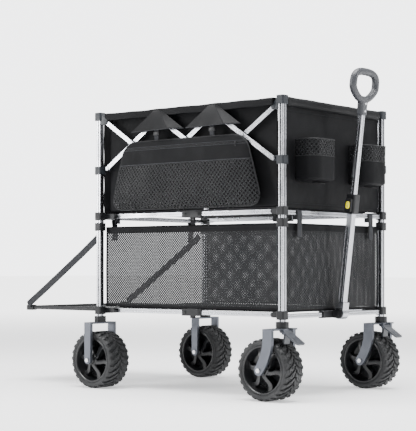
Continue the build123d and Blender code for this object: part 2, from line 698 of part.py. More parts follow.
# ---------------------------------------------------------------- wheels, forks and brakes


def tyre():
    """Tyre round the Y axis, at the origin."""
    depth = WHEEL_RADIUS - RIM_RADIUS
    outline = Pos(RIM_RADIUS + depth / 2, 0) * Rectangle(depth, TYRE_WIDTH)
    outer = outline.vertices().group_by(Axis.X)[-1]
    return revolve(fillet(outer, TYRE_SHOULDER), Axis.Y, 360)


def hub():
    """Dished wheel centre round the Y axis, at the origin, with ribs on both faces."""
    rim_inner = RIM_RADIUS - RIM_THICKNESS
    outline = Pos((RIM_RADIUS + rim_inner) / 2, 0) * Rectangle(RIM_THICKNESS, RIM_WIDTH)
    outline += Pos((rim_inner + 1) / 2, 0) * Rectangle(rim_inner + 1, WEB_THICKNESS)
    outline += Pos(HUB_RADIUS / 2, 0) * Rectangle(HUB_RADIUS, HUB_WIDTH)
    whole = revolve(outline, Axis.Y, 360)
    for number in range(SPOKE_COUNT):
        rib = span(HUB_RADIUS - 1, rim_inner + 1, -SPOKE_WIDTH / 2, SPOKE_WIDTH / 2,
                   -SPOKE_THICKNESS / 2, SPOKE_THICKNESS / 2)
        whole += Rot(0, 360 / SPOKE_COUNT * number, 0) * rib
    return whole - pin(AXLE_RADIUS + PIN_FIT, 0, 0, -HUB_WIDTH, HUB_WIDTH)


def axle_bolt():
    """Axle bolt along Y at the origin, headed outside both fork legs."""
    shank = pin(AXLE_RADIUS, 0, 0, -FORK_OUTER, FORK_OUTER)
    for low in (-FORK_OUTER - BOLT_HEAD_THICKNESS, FORK_OUTER):
        shank += across(RegularPolygon(BOLT_HEAD_RADIUS, 6), low, low + BOLT_HEAD_THICKNESS)
    return shank


def stem():
    return upright(Circle(STEM_RADIUS), FORK_PLATE_TOP - 1, STEM_TOP_Z)


def fork_legs(outline, axle_x):
    """Both legs of a fork from one outline in X and Z, bored for the axle bolt."""
    legs = across(outline, FORK_INNER, FORK_OUTER) + across(outline, -FORK_OUTER, -FORK_INNER)
    return legs - pin(AXLE_RADIUS, axle_x, AXLE_Z, -FORK_OUTER - 1, FORK_OUTER + 1)


def on_foot(angle):
    """Place on the round foot of a caster leg, with the angle from the front."""
    turn = math.radians(angle)
    return (-CASTER_TRAIL + FORK_FOOT_RADIUS * math.cos(turn), AXLE_Z + FORK_FOOT_RADIUS * math.sin(turn))


def caster_leg_outline():
    """Leg that drops straight and then sweeps back to the axle, with X from the swivel axis."""
    top = FORK_PLATE_TOP
    back = -CASTER_TRAIL + FORK_FOOT_RADIUS
    front = back + FORK_LEG_WIDTH
    bend = AXLE_Z + FORK_BEND * (top - AXLE_Z)
    heel = on_foot(180 - HEEL_ANGLE)
    sole = on_foot(180 + SOLE_ANGLE)
    toe = on_foot(-TOE_ANGLE)
    edges = [
        Line((back, top), (back, bend)),
        ThreePointArc((back, bend), ((back + heel[0]) / 2 + FORK_BACK_BOW, (bend + heel[1]) / 2 - 1), heel),
        ThreePointArc(heel, sole, toe),
        ThreePointArc(toe, ((front + toe[0]) / 2 + FORK_FRONT_BOW, (bend + toe[1]) / 2 - 1), (front, bend)),
        Line((front, bend), (front, top)),
        Line((front, top), (back, top)),
    ]
    return make_face(Wire(edges))


def brake_ears():
    """Two ears under the front edge of a caster plate that hold the brake pin."""
    ears = []
    for side in (-1, 1):
        inner = side * (BRAKE_WIDTH / 2 + SIDE_GAP)
        low, high = sorted((inner, inner + side * BRAKE_EAR))
        outline = Pos(BRAKE_PIVOT_AHEAD, BRAKE_PIVOT_Z) * Circle(BRAKE_BARREL_RADIUS + BRAKE_EAR_MARGIN)
        outline += Polygon(
            (FORK_FRONT_REACH - BRAKE_EAR_TOE, BRAKE_PIVOT_Z),
            (BRAKE_PIVOT_AHEAD + BRAKE_BARREL_RADIUS, BRAKE_PIVOT_Z),
            (BRAKE_PIVOT_AHEAD + BRAKE_BARREL_RADIUS, FORK_PLATE_TOP),
            (FORK_FRONT_REACH - BRAKE_EAR_ROOT, FORK_PLATE_TOP),
            align=None,
        )
        ears.append(across(outline, low, high))
    return ears


def caster_fork():
    """Swivel fork round the post axis at the origin: stem, plate, legs and brake ears."""
    back = -CASTER_TRAIL + FORK_FOOT_RADIUS
    length = FORK_FRONT_REACH - back
    plate = Pos((FORK_FRONT_REACH + back) / 2, 0) * RectangleRounded(length, 2 * FORK_OUTER, FORK_PLATE_RADIUS)
    whole = upright(plate, FORK_PLATE_TOP - FORK_PLATE, FORK_PLATE_TOP)
    whole += fork_legs(caster_leg_outline(), -CASTER_TRAIL)
    for ear in brake_ears():
        whole += ear
    whole += stem()
    half = BRAKE_WIDTH / 2 + SIDE_GAP + 2 * BRAKE_EAR
    return whole - pin(BRAKE_PIN_RADIUS, BRAKE_PIVOT_AHEAD, BRAKE_PIVOT_Z, -half, half)


def brake_pin():
    half = BRAKE_WIDTH / 2 + SIDE_GAP + BRAKE_EAR + BRAKE_EAR_MARGIN
    return pin(BRAKE_PIN_RADIUS, BRAKE_PIVOT_AHEAD, BRAKE_PIVOT_Z, -half, half)


def brake_pedal():
    """Pedal, barrel and shoe that turn on the brake pin, released."""
    half = BRAKE_WIDTH / 2
    pivot = Pos(BRAKE_PIVOT_AHEAD, 0, BRAKE_PIVOT_Z)
    tread = span(0, BRAKE_PEDAL_LENGTH, -half, half, -BRAKE_PEDAL_THICKNESS / 2, BRAKE_PEDAL_THICKNESS / 2)
    tread = fillet(tread.edges().filter_by(Axis.Z).group_by(Axis.X)[-1], BRAKE_PEDAL_RADIUS)
    pad_end = BRAKE_PAD_START + BRAKE_PAD_LENGTH
    pad_half = BRAKE_PAD_WIDTH / 2
    face = BRAKE_PEDAL_THICKNESS / 2
    raised = span(BRAKE_PAD_START, pad_end, -pad_half, pad_half, 0, face + BRAKE_PAD_RISE)
    recess_half = pad_half - BRAKE_PAD_BORDER
    recess = span(BRAKE_PAD_START + BRAKE_PAD_BORDER, pad_end - BRAKE_PAD_BORDER, -recess_half, recess_half,
                  face, face + 2 * BRAKE_PAD_RISE)
    tread = Rot(0, BRAKE_PEDAL_SLOPE, 0) * (tread + (raised - recess))
    to_axle = (-CASTER_TRAIL - BRAKE_PIVOT_AHEAD, AXLE_Z - BRAKE_PIVOT_Z)
    reach = math.hypot(*to_axle) - WHEEL_RADIUS - BRAKE_SHOE_GAP
    facing = math.degrees(math.atan2(-to_axle[1], to_axle[0])) - BRAKE_STROKE
    shoe = span(0, reach, -BRAKE_SHOE_WIDTH / 2, BRAKE_SHOE_WIDTH / 2,
                -BRAKE_SHOE_THICKNESS / 2, BRAKE_SHOE_THICKNESS / 2)
    whole = tread + Rot(0, facing, 0) * shoe + pin(BRAKE_BARREL_RADIUS, 0, 0, -half, half)
    return pivot * (whole - pin(BRAKE_PIN_RADIUS + PIN_FIT, 0, 0, -half - 1, half + 1))


def rear_fork():
    """Fixed fork round the post axis at the origin, with straight tapered legs."""
    plate = RectangleRounded(REAR_LEG_WIDTH + REAR_PLATE_MARGIN, 2 * FORK_OUTER, REAR_PLATE_RADIUS)
    whole = upright(plate, FORK_PLATE_TOP - FORK_PLATE, COLLAR_BOTTOM_Z)
    shoulder = Rectangle(REAR_LEG_WIDTH, REAR_LEG_SHOULDER)
    top = Pos(0, FORK_PLATE_TOP - REAR_LEG_SHOULDER / 2) * shoulder
    foot = Pos(0, AXLE_Z) * Circle(REAR_FOOT_RADIUS)
    outline = make_hull(top.edges() + foot.edges())
    return whole + fork_legs(outline, 0) + stem()


def wheel_places(side):
    """Places of the caster and of the rear fork on one side: +1 is left, -1 is right."""
    return Pos(FRONT_X, side * SIDE_Y, 0), Pos(-FRONT_X, side * SIDE_Y, 0)


# ---------------------------------------------------------------- pull handle


def leaned(shape):
    """From the handle's own frame, pivot at the origin and shaft along Z, to its parked lean."""
    return Pos(FRONT_X + HANDLE_AHEAD, 0, HANDLE_PIVOT_Z) * Rot(0, HANDLE_LEAN, 0) * shape


def lower_tube():
    """Lower shaft with a wide and a narrow groove on each side."""
    outline = RectangleRounded(LOWER_TUBE, LOWER_TUBE, TUBE_EDGE_RADIUS)
    inner = LOWER_TUBE - 2 * LOWER_TUBE_WALL
    outline -= RectangleRounded(inner, inner, TUBE_EDGE_RADIUS - LOWER_TUBE_WALL)
    for side in (-1, 1):
        edge = side * LOWER_TUBE / 2
        outline -= Pos(-LOWER_TUBE / 6, edge) * Rectangle(LOWER_TUBE / 3, GROOVE_DEPTH)
        outline -= Pos(LOWER_TUBE / 5, edge) * Rectangle(GROOVE_WIDTH, GROOVE_DEPTH)
    return upright(outline, FOOT_TOP, LOWER_TUBE_LENGTH)


def upper_tube():
    outline = RectangleRounded(UPPER_TUBE, UPPER_TUBE, TUBE_EDGE_RADIUS - 1)
    inner = UPPER_TUBE - 2 * (UPPER_TUBE_WALL + GROOVE_DEPTH)
    outline -= RectangleRounded(inner, inner, 1)
    for turn in range(4):
        outline -= Rot(0, 0, 90 * turn) * Pos(UPPER_TUBE / 2, 0) * Rectangle(GROOVE_DEPTH, GROOVE_WIDTH)
    return upright(outline, UPPER_TUBE_START, UPPER_TUBE_END)


def handle_foot():
    """Cast end of the shaft that turns on the yoke's pin."""
    outline = Circle(FOOT_RADIUS)
    outline += Pos(0, FOOT_RADIUS) * Rectangle(LOWER_TUBE + FOOT_MARGIN, 2 * FOOT_RADIUS)
    foot = across(outline, -FOOT_WIDTH / 2, FOOT_WIDTH / 2)
    socket = upright(RectangleRounded(LOWER_TUBE, LOWER_TUBE, TUBE_EDGE_RADIUS), FOOT_TOP,
                     FOOT_TOP + FOOT_SOCKET)
    return foot - socket - pin(HANDLE_PIN_RADIUS + PIN_FIT, 0, 0, -FOOT_WIDTH, FOOT_WIDTH)


def clamp_sleeve():
    """Sleeve fixed on the lower shaft that guides the upper one, with a latch box on its right."""
    length = CLAMP_END - CLAMP_START
    sleeve = upright(RectangleRounded(CLAMP_DEPTH, CLAMP_WIDTH, CLAMP_RADIUS), CLAMP_START, CLAMP_END)
    middle = CLAMP_START + length / 2 - LATCH_BELOW_MIDDLE
    box_low = -CLAMP_WIDTH / 2 - LATCH_DEPTH
    box = span(-LATCH_WIDTH / 2, LATCH_WIDTH / 2, box_low, -CLAMP_WIDTH / 2 + 1,
               middle - LATCH_LENGTH / 2, middle + LATCH_LENGTH / 2)
    whole = sleeve + fillet(box.edges().filter_by(Axis.Y), LATCH_RADIUS)
    lower = RectangleRounded(LOWER_TUBE, LOWER_TUBE, TUBE_EDGE_RADIUS)
    bore = UPPER_TUBE + CLAMP_FIT
    upper = RectangleRounded(bore, bore, TUBE_EDGE_RADIUS - 1)
    whole -= upright(lower, CLAMP_START - 1, LOWER_TUBE_LENGTH)
    whole -= upright(upper, CLAMP_START, CLAMP_END + 1)
    well = Pos(0, middle) * SlotCenterToCenter(
        BUTTON_LENGTH - BUTTON_WIDTH, BUTTON_WIDTH + 2 * BUTTON_FIT, rotation=90
    )
    return whole - across(well, box_low - 1, box_low + LATCH_DEPTH - LATCH_FLOOR)


def release_button():
    """Oblong push button in the latch box."""
    middle = (CLAMP_START + CLAMP_END) / 2 - LATCH_BELOW_MIDDLE
    outline = Pos(0, middle) * SlotCenterToCenter(BUTTON_LENGTH - BUTTON_WIDTH, BUTTON_WIDTH, rotation=90)
    face = -CLAMP_WIDTH / 2 - LATCH_DEPTH - BUTTON_PROUD
    button = across(outline, face, -CLAMP_WIDTH / 2 - LATCH_FLOOR - BUTTON_STROKE - BUTTON_CLEARANCE)
    return fillet(button.edges().group_by(Axis.Y)[0], BUTTON_EDGE_RADIUS)


def grip():
    """D-shaped grip on the upper shaft."""
    bar_z = GRIP_TOP - GRIP_BAR
    crown = Pos(0, bar_z) * RectangleRounded(GRIP_WIDTH, 2 * GRIP_BAR - 2, GRIP_BAR - 2)
    neck_height = GRIP_LOOP_BOTTOM - GRIP_NECK_START
    neck = Pos(0, GRIP_NECK_START + neck_height / 2) * Rectangle(GRIP_NECK_WIDTH, neck_height)
    outline = make_hull(crown.edges() + neck.edges())
    loop = Polygon(
        (-GRIP_NECK_WIDTH / 2, GRIP_LOOP_BOTTOM),
        (GRIP_NECK_WIDTH / 2, GRIP_LOOP_BOTTOM),
        (GRIP_WIDTH / 2 - GRIP_BAR, bar_z - GRIP_BAR),
        (GRIP_WIDTH / 2 - GRIP_BAR, bar_z),
        (-GRIP_WIDTH / 2 + GRIP_BAR, bar_z),
        (-GRIP_WIDTH / 2 + GRIP_BAR, bar_z - GRIP_BAR),
        align=None,
    )
    outline -= fillet(loop.vertices(), GRIP_LOOP_RADIUS)
    whole = along(outline, -GRIP_THICKNESS / 2, GRIP_THICKNESS / 2)
    upper = RectangleRounded(UPPER_TUBE, UPPER_TUBE, TUBE_EDGE_RADIUS - 1)
    return whole - upright(upper, GRIP_NECK_START - 1, UPPER_TUBE_END)


def handle_yoke():
    """Yoke clamped round the lower cross rail, whose cheeks hold the handle pin."""
    pivot_x = FRONT_X + HANDLE_AHEAD
    eye = FOOT_RADIUS - YOKE_EYE_INSET
    half_x = CROSS_RAIL_DEPTH / 2 + YOKE_CLAMP_MARGIN
    half_z = CROSS_RAIL_HEIGHT / 2 + YOKE_CLAMP_MARGIN
    clamp = span(FRONT_X - half_x, FRONT_X + half_x, -YOKE_CLAMP_LENGTH / 2 - YOKE_CLAMP_EXTRA,
                 YOKE_CLAMP_LENGTH / 2, CROSS_RAIL_Z - half_z, CROSS_RAIL_Z + half_z)
    whole = fillet(clamp.edges().filter_by(Axis.Y), YOKE_EDGE_RADIUS)
    outline = Pos(pivot_x, HANDLE_PIVOT_Z) * Circle(eye)
    foot_back = FRONT_X + half_x - 2
    outline += Polygon(
        (foot_back, CROSS_RAIL_Z - half_z),
        (pivot_x, HANDLE_PIVOT_Z - eye),
        (pivot_x, HANDLE_PIVOT_Z + eye),
        (foot_back, CROSS_RAIL_Z + half_z),
        align=None,
    )
    for side in (-1, 1):
        inner = side * (FOOT_WIDTH / 2 + SIDE_GAP)
        low, high = sorted((inner, inner + side * YOKE_CHEEK))
        whole += across(outline, low, high)
    whole -= across(Pos(FRONT_X, CROSS_RAIL_Z) * cross_rail_outline(), -SIDE_Y, SIDE_Y)
    return whole - pin(HANDLE_PIN_RADIUS, pivot_x, HANDLE_PIVOT_Z, -SIDE_Y, SIDE_Y)


def handle_pin():
    half = FOOT_WIDTH / 2 + SIDE_GAP + YOKE_CHEEK
    x = FRONT_X + HANDLE_AHEAD
    shank = pin(HANDLE_PIN_RADIUS, x, HANDLE_PIVOT_Z, -half, half)
    for low in (-half - HANDLE_PIN_HEAD, half):
        shank += pin(HANDLE_PIN_RADIUS + HANDLE_PIN_HEAD, x, HANDLE_PIVOT_Z, low, low + HANDLE_PIN_HEAD)
    return shank


# ---------------------------------------------------------------- tailgate


def hinge_x():
    return -FRONT_X - TAILGATE_HINGE_BEHIND


def tailgate_lug():
    """Rear left lug that holds the tailgate pin, joined to the lower rear fitting."""
    outline = Pos(hinge_x(), TAILGATE_Z) * Circle(LUG_RADIUS)
    reach = TAILGATE_HINGE_BEHIND - CROSS_RAIL_DEPTH / 2 - 1
    outline += Pos(hinge_x() + reach / 2, TAILGATE_Z) * Rectangle(reach, 2 * LUG_RADIUS)
    lug = across(outline, TAILGATE_HALF_WIDTH + TAILGATE_BLOCK / 2 + SIDE_GAP, FITTING_INNER_Y + POST_WALL)
    return lug - at_rear_left(upright(post_outline(), 0, FRAME_TOP))


def at_rear_left(shape):
    return Pos(-FRONT_X, SIDE_Y, 0) * shape


def tailgate_pin():
    inner = TAILGATE_HALF_WIDTH - TAILGATE_BLOCK / 2 - SIDE_GAP
    outer = TAILGATE_HALF_WIDTH + TAILGATE_BLOCK / 2 + SIDE_GAP
    return pin(PIN_RADIUS, hinge_x(), TAILGATE_Z, inner, outer)


def tailgate_arm():
    """Left side tube of the tailgate with a flattened hinge eye and an end block."""
    y = TAILGATE_HALF_WIDTH
    end_x = hinge_x() - TAILGATE_LENGTH
    tube = along(Pos(y, TAILGATE_Z) * Circle(TAILGATE_TUBE_RADIUS), end_x, hinge_x())
    half = TAILGATE_BLOCK / 2
    eye = pin(TAILGATE_EYE_RADIUS, hinge_x(), TAILGATE_Z, y - half, y + half)
    block = span(end_x - TAILGATE_BLOCK_PAST, end_x + TAILGATE_BLOCK_GRIP, y - half, y + half,
                 TAILGATE_Z - half, TAILGATE_Z + half)
    block = fillet(block.edges().filter_by(Axis.Y), TAILGATE_BLOCK_RADIUS)
    whole = tube + eye + block
    return whole - pin(PIN_RADIUS + PIN_FIT, hinge_x(), TAILGATE_Z, y - 2 * TAILGATE_TUBE_RADIUS, SIDE_Y)


def tailgate_end_bar():
    half = TAILGATE_HALF_WIDTH - TAILGATE_BLOCK / 2
    end_x = hinge_x() - TAILGATE_LENGTH
    return pin(TAILGATE_TUBE_RADIUS, end_x, TAILGATE_Z, -half, half)


def tailgate_panel():
    """Cloth panel stretched inside the tailgate frame, with a hem over the end bar."""
    half = TAILGATE_HALF_WIDTH - TAILGATE_BLOCK / 2 - CLOTH_GAP
    end_x = hinge_x() - TAILGATE_LENGTH + TAILGATE_TUBE_RADIUS + CLOTH_GAP
    thick = TAILGATE_HALF_THICKNESS
    return span(end_x, hinge_x() - TAILGATE_PANEL_SETBACK, -half, half, TAILGATE_Z - thick, TAILGATE_Z + thick)


def tailgate_strap():
    """Left webbing strap from the rear post down to the end of the tailgate."""
    top = (-FRONT_X - FITTING_WIDTH / 2 - TAILGATE_STRAP_BEHIND_POST, TAILGATE_STRAP_TOP_Z)
    low = (hinge_x() - TAILGATE_LENGTH + TAILGATE_STRAP_BEHIND_POST, TAILGATE_Z + TAILGATE_STRAP_ABOVE_FRAME)
    length = math.dist(top, low)
    turn = math.degrees(math.atan2(top[1] - low[1], top[0] - low[0]))
    middle = Pos((top[0] + low[0]) / 2, (top[1] + low[1]) / 2) * Rot(0, 0, turn)
    edge_y = TAILGATE_STRAP_Y
    return across(middle * Rectangle(length, STRAP_WIDTH), edge_y, edge_y + STRAP_THICKNESS)


# ---------------------------------------------------------------- write every sub-part

# Front frame
save("front_posts", left_and_right(at_front_left(post())))
save("front_corner_caps", cap_with_pin(INNER_LAYER))
save("front_post_fittings", post_fittings())
save("front_cross_rails", cross_rails())
save("front_upper_panel", end_panel())
save("front_cup_holders", left_and_right(cup_holder(CUP_PITCH / 2)))
save("front_lower_mesh", front_mesh(), left_and_right(hang_strap()))
save("handle_yoke", handle_yoke(), handle_pin())

# Rear frame
save("rear_posts", left_and_right(at_rear_left(post())))
save("rear_corner_caps", [rear_twin(shape) for shape in cap_with_pin(OUTER_LAYER)])
rear_fittings = [rear_twin(shape) for shape in post_fittings()]
for number, lug in enumerate(left_and_right(tailgate_lug())):
    lower_fitting = 4 + number
    rear_fittings[lower_fitting] = rear_fittings[lower_fitting] + lug
save("rear_post_fittings", rear_fittings, left_and_right(tailgate_pin()))
save("rear_cross_rails", [rear_twin(shape) for shape in cross_rails()])
save("rear_upper_panel", rear_twin(end_panel()))
save("rear_forks", left_and_right(at_rear_left(rear_fork())))
save("rear_axle_bolts", left_and_right(at_rear_left(Pos(0, 0, AXLE_Z) * axle_bolt())))

# Sliders and scissors
save("front_sliders", left_and_right(slider(OUTER_LAYER[0])))
save("rear_sliders", left_and_right(rear_twin(slider(INNER_LAYER[0]))))
save("link_rear_down", link_group(REAR_TOP, REAR_LOWER, OUTER_LAYER, [REAR_CROSSING, REAR_LOWER], [],
                                  [REAR_TOP]))
save("link_rear_up", link_group(REAR_BOTTOM, REAR_UPPER, INNER_LAYER, [], [REAR_BOTTOM], [REAR_CROSSING]))
save("link_middle_up", link_group(REAR_LOWER, FRONT_UPPER, INNER_LAYER, [], [], [REAR_LOWER]))
save("link_front_up", link_group(FRONT_LOWER, FRONT_TOP, INNER_LAYER, [FRONT_CROSSING, FRONT_LOWER], [],
                                 [FRONT_TOP]))
save("link_front_down", link_group(FRONT_UPPER, FRONT_BOTTOM, OUTER_LAYER, [], [FRONT_UPPER, FRONT_BOTTOM],
                                   [FRONT_CROSSING]))
save("link_middle_down", link_group(REAR_UPPER, FRONT_LOWER, OUTER_LAYER, [], [REAR_UPPER, MIDDLE_CROSSING],
                                    [FRONT_LOWER]))

# Folding rails and deck boards
for deck, deck_z in (("upper", UPPER_RAIL_Z), ("lower", LOWER_RAIL_Z)):
    front_half = rail_half(deck_z)
    save(f"{deck}_front_rails", left_and_right(front_half))
    save(f"{deck}_rear_rails", left_and_right(rear_twin(front_half)))
    save(f"{deck}_centre_brackets", centre_group(deck_z))
    save(f"{deck}_front_board", board(deck_z))
    save(f"{deck}_rear_board", rear_twin(board(deck_z)))

# Soft sides
save("upper_side_walls", left_and_right(side_wall()))
save("lower_side_meshes", left_and_right(side_mesh()))
save("side_bag", side_bag())

# Wheels, casters and brakes
axle_lift = Pos(0, 0, AXLE_Z)
for hand, side in (("left", 1), ("right", -1)):
    caster_place, rear_place = wheel_places(side)
    front_axle = caster_place * Pos(-CASTER_TRAIL, 0, AXLE_Z)
    save(f"caster_fork_{hand}", caster_place * caster_fork(), caster_place * brake_pin())
    save(f"caster_bolt_{hand}", front_axle * axle_bolt())
    save(f"brake_pedal_{hand}", caster_place * brake_pedal())
    save(f"front_tyre_{hand}", front_axle * tyre())
    save(f"front_hub_{hand}", front_axle * hub())
    save(f"rear_tyre_{hand}", rear_place * axle_lift * tyre())
    save(f"rear_hub_{hand}", rear_place * axle_lift * hub())

# Pull handle
save("handle_foot", leaned(handle_foot()))
save("handle_lower_tube", leaned(lower_tube()))
save("handle_clamp", leaned(clamp_sleeve()))
save("handle_button", leaned(release_button()))
save("handle_upper_tube", leaned(upper_tube()))
save("handle_grip", leaned(grip()))

# Tailgate
save("tailgate_frame", left_and_right(tailgate_arm()), tailgate_end_bar())
save("tailgate_panel", tailgate_panel())
save("tailgate_straps", left_and_right(tailgate_strap()))
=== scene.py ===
# %% [markdown]
# # A folding camp wagon, dressed
# The frame, wheels and linkage come from the CAD model and are not touched here. What is made
# here is what a CAD model leaves plain: the fabric tub, the mesh basket, webbing, treaded tyres,
# wheel centres and the pull grip, and the finish of every surface.

# %% Load the frame
import json
import math

import bmesh
import bpy
from mathutils import Matrix, Vector, noise


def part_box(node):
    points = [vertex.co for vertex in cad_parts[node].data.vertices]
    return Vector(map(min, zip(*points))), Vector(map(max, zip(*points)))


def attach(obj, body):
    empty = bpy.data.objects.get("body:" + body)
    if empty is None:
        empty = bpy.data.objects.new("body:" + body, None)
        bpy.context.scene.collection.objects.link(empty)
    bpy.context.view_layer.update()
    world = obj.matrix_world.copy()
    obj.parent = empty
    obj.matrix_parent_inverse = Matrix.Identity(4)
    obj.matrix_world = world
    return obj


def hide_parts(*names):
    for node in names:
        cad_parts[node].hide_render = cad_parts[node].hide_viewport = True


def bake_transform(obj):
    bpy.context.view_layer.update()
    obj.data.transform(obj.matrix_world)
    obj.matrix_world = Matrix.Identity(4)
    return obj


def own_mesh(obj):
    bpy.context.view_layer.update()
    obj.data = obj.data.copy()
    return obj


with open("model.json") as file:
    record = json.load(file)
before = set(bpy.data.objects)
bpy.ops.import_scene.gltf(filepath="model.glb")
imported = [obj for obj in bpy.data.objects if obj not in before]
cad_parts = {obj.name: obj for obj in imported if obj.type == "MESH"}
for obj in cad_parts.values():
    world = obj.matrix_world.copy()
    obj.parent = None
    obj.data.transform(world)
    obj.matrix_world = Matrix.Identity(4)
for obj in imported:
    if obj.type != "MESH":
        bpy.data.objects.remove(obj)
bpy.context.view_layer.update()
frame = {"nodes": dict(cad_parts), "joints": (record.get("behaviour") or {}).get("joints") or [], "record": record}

scene = bpy.context.scene

# %% [markdown]
# Every place is read from the frame. A node's box gives its lowest and highest corner, and a
# joint's position gives a pivot, so nothing here is fitted by eye to the metal.

# %% Places read from the frame
MM = 0.001


def corners(node):
    """Lowest and highest corner of a CAD node, in metres."""
    low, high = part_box(node)
    return Vector(low), Vector(high)


pivot = {
    joint["name"]: Vector(joint["pos_m"])
    for joint in frame["record"]["behaviour"]["joints"]
    if "pos_m" in joint
}
posts_low, posts_high = corners("front_posts")
caps_high = corners("front_corner_caps")[1]
POST = posts_high.x - posts_low.x
FRONT_X = (posts_low.x + posts_high.x) / 2
SIDE_Y = posts_high.y - POST / 2
FRAME_TOP = caps_high.z
walls_low, walls_high = corners("upper_side_walls")
LINK_TOP = pivot["link_front_up_pivot"].z
UPPER_JOINT_X = abs(pivot["link_middle_up_joint"].x)
print("posts at", round(FRONT_X, 3), round(SIDE_Y, 3), "top", round(FRAME_TOP, 3))

# %% [markdown]
# ## Finishes
# Each finish is a small node tree round one Principled shader. A bump reads a pattern in metres,
# either straight from the object's own coordinates or, on cloth, from a UV map that is laid out
# in metres too, so a weave keeps its real size on every piece.

# %% Small helpers that build a finish


def new_finish(name, colour, roughness, metallic=0.0, coat=0.0, sheen=0.0):
    """A material with one Principled shader, in a plain colour to start from."""
    material = bpy.data.materials.new(name)
    material.use_nodes = True
    shader = material.node_tree.nodes["Principled BSDF"]
    shader.inputs["Base Color"].default_value = (*colour, 1.0)
    shader.inputs["Roughness"].default_value = roughness
    shader.inputs["Metallic"].default_value = metallic
    shader.inputs["Coat Weight"].default_value = coat
    shader.inputs["Coat Roughness"].default_value = 0.25
    shader.inputs["Sheen Weight"].default_value = sheen
    shader.inputs["Sheen Roughness"].default_value = 0.4
    material.diffuse_color = (*colour, 1.0)
    return material


def add_node(material, kind, **values):
    """A node with its named sockets or settings filled in."""
    node = material.node_tree.nodes.new(kind)
    for key, value in values.items():
        if key in node.inputs:
            node.inputs[key].default_value = value
        else:
            setattr(node, key, value)
    return node


def wire(material, source, target):
    material.node_tree.links.new(source, target)


def shader_of(material):
    return material.node_tree.nodes["Principled BSDF"]


def coordinates(material, source="Object", scale=(1.0, 1.0, 1.0), turn=0.0):
    """Object or UV coordinates through a Mapping node."""
    where = add_node(material, "ShaderNodeTexCoord")
    mapping = add_node(material, "ShaderNodeMapping", Scale=scale, Rotation=(0.0, 0.0, turn))
    wire(material, where.outputs[source], mapping.inputs["Vector"])
    return mapping.outputs["Vector"]


def add_bump(material, height, distance, strength=1.0):
    """Stacks a bump on whatever normal the shader already has."""
    bump = add_node(material, "ShaderNodeBump", Distance=distance, Strength=strength)
    normal = shader_of(material).inputs["Normal"]
    if normal.is_linked:
        wire(material, normal.links[0].from_socket, bump.inputs["Normal"])
    wire(material, height, bump.inputs["Height"])
    wire(material, bump.outputs["Normal"], normal)


def add_grain(material, scale, distance, source="Object", stretch=(1.0, 1.0, 1.0), detail=3.0):
    """Fine surface noise, such as the grain of a moulding or the drawn lines on a bar."""
    grain = add_node(material, "ShaderNodeTexNoise", Scale=scale, Detail=detail)
    wire(material, coordinates(material, source, stretch), grain.inputs["Vector"])
    add_bump(material, grain.outputs["Fac"], distance)
    return grain.outputs["Fac"]


def vary(material, socket, scale, low, high, source="Object", stretch=(1.0, 1.0, 1.0)):
    """Slow, cloudy change of one shader value, so that no surface is perfectly even."""
    cloud = add_node(material, "ShaderNodeTexNoise", Scale=scale, Detail=2.0)
    wire(material, coordinates(material, source, stretch), cloud.inputs["Vector"])
    band = add_node(material, "ShaderNodeMapRange")
    band.inputs["From Min"].default_value = 0.3
    band.inputs["From Max"].default_value = 0.7
    band.inputs["To Min"].default_value = low
    band.inputs["To Max"].default_value = high
    wire(material, cloud.outputs["Fac"], band.inputs["Value"])
    wire(material, band.outputs["Result"], shader_of(material).inputs[socket])


def vary_colour(material, scale, dark, light, source="Object"):
    """Cloudy mix between two close colours."""
    cloud = add_node(material, "ShaderNodeTexNoise", Scale=scale, Detail=4.0)
    wire(material, coordinates(material, source), cloud.inputs["Vector"])
    ramp = add_node(material, "ShaderNodeValToRGB")
    ramp.color_ramp.elements[0].position = 0.35
    ramp.color_ramp.elements[0].color = (*dark, 1.0)
    ramp.color_ramp.elements[1].position = 0.65
    ramp.color_ramp.elements[1].color = (*light, 1.0)
    wire(material, cloud.outputs["Fac"], ramp.inputs["Fac"])
    wire(material, ramp.outputs["Color"], shader_of(material).inputs["Base Color"])


def soften_edges(material, radius):
    """Rounds hard CAD edges in the shading only, which gives them a bright line."""
    edge = add_node(material, "ShaderNodeBevel", samples=4, Radius=radius)
    wire(material, edge.outputs["Normal"], shader_of(material).inputs["Normal"])


def paint_hollow_shade(material, dark, light, reach):
    """Painted shade: darker metal in grooves and corners, read from ambient occlusion, where little light reaches."""
    open_sky = add_node(material, "ShaderNodeAmbientOcclusion", samples=4, Distance=reach)
    ramp = add_node(material, "ShaderNodeValToRGB")
    ramp.color_ramp.elements[0].position = 0.45
    ramp.color_ramp.elements[0].color = (*dark, 1.0)
    ramp.color_ramp.elements[1].position = 0.85
    ramp.color_ramp.elements[1].color = (*light, 1.0)
    wire(material, open_sky.outputs["AO"], ramp.inputs["Fac"])
    wire(material, ramp.outputs["Color"], shader_of(material).inputs["Base Color"])


def paint_groove_shade(material, axis, half_width, dark, light):
    """Painted shade: dark lines down the middle of each face of the four upright posts, where the grooves lie in shade.
    """
    where = add_node(material, "ShaderNodeTexCoord")
    split = add_node(material, "ShaderNodeSeparateXYZ")
    wire(material, where.outputs["Object"], split.inputs["Vector"])
    offsets = []
    for socket, middle in zip(("X", "Y"), axis):
        away = combine(material, "ABSOLUTE", split.outputs[socket], 0.0)
        offsets.append(combine(material, "ABSOLUTE", combine(material, "SUBTRACT", away, middle), 0.0))
    nearest = combine(material, "MINIMUM", *offsets)
    share = combine(material, "DIVIDE", nearest, 2 * half_width)
    ramp = add_node(material, "ShaderNodeValToRGB")
    ramp.color_ramp.elements[0].position = 0.42
    ramp.color_ramp.elements[0].color = (*dark, 1.0)
    ramp.color_ramp.elements[1].position = 0.58
    ramp.color_ramp.elements[1].color = (*light, 1.0)
    wire(material, share, ramp.inputs["Fac"])
    wire(material, ramp.outputs["Color"], shader_of(material).inputs["Base Color"])


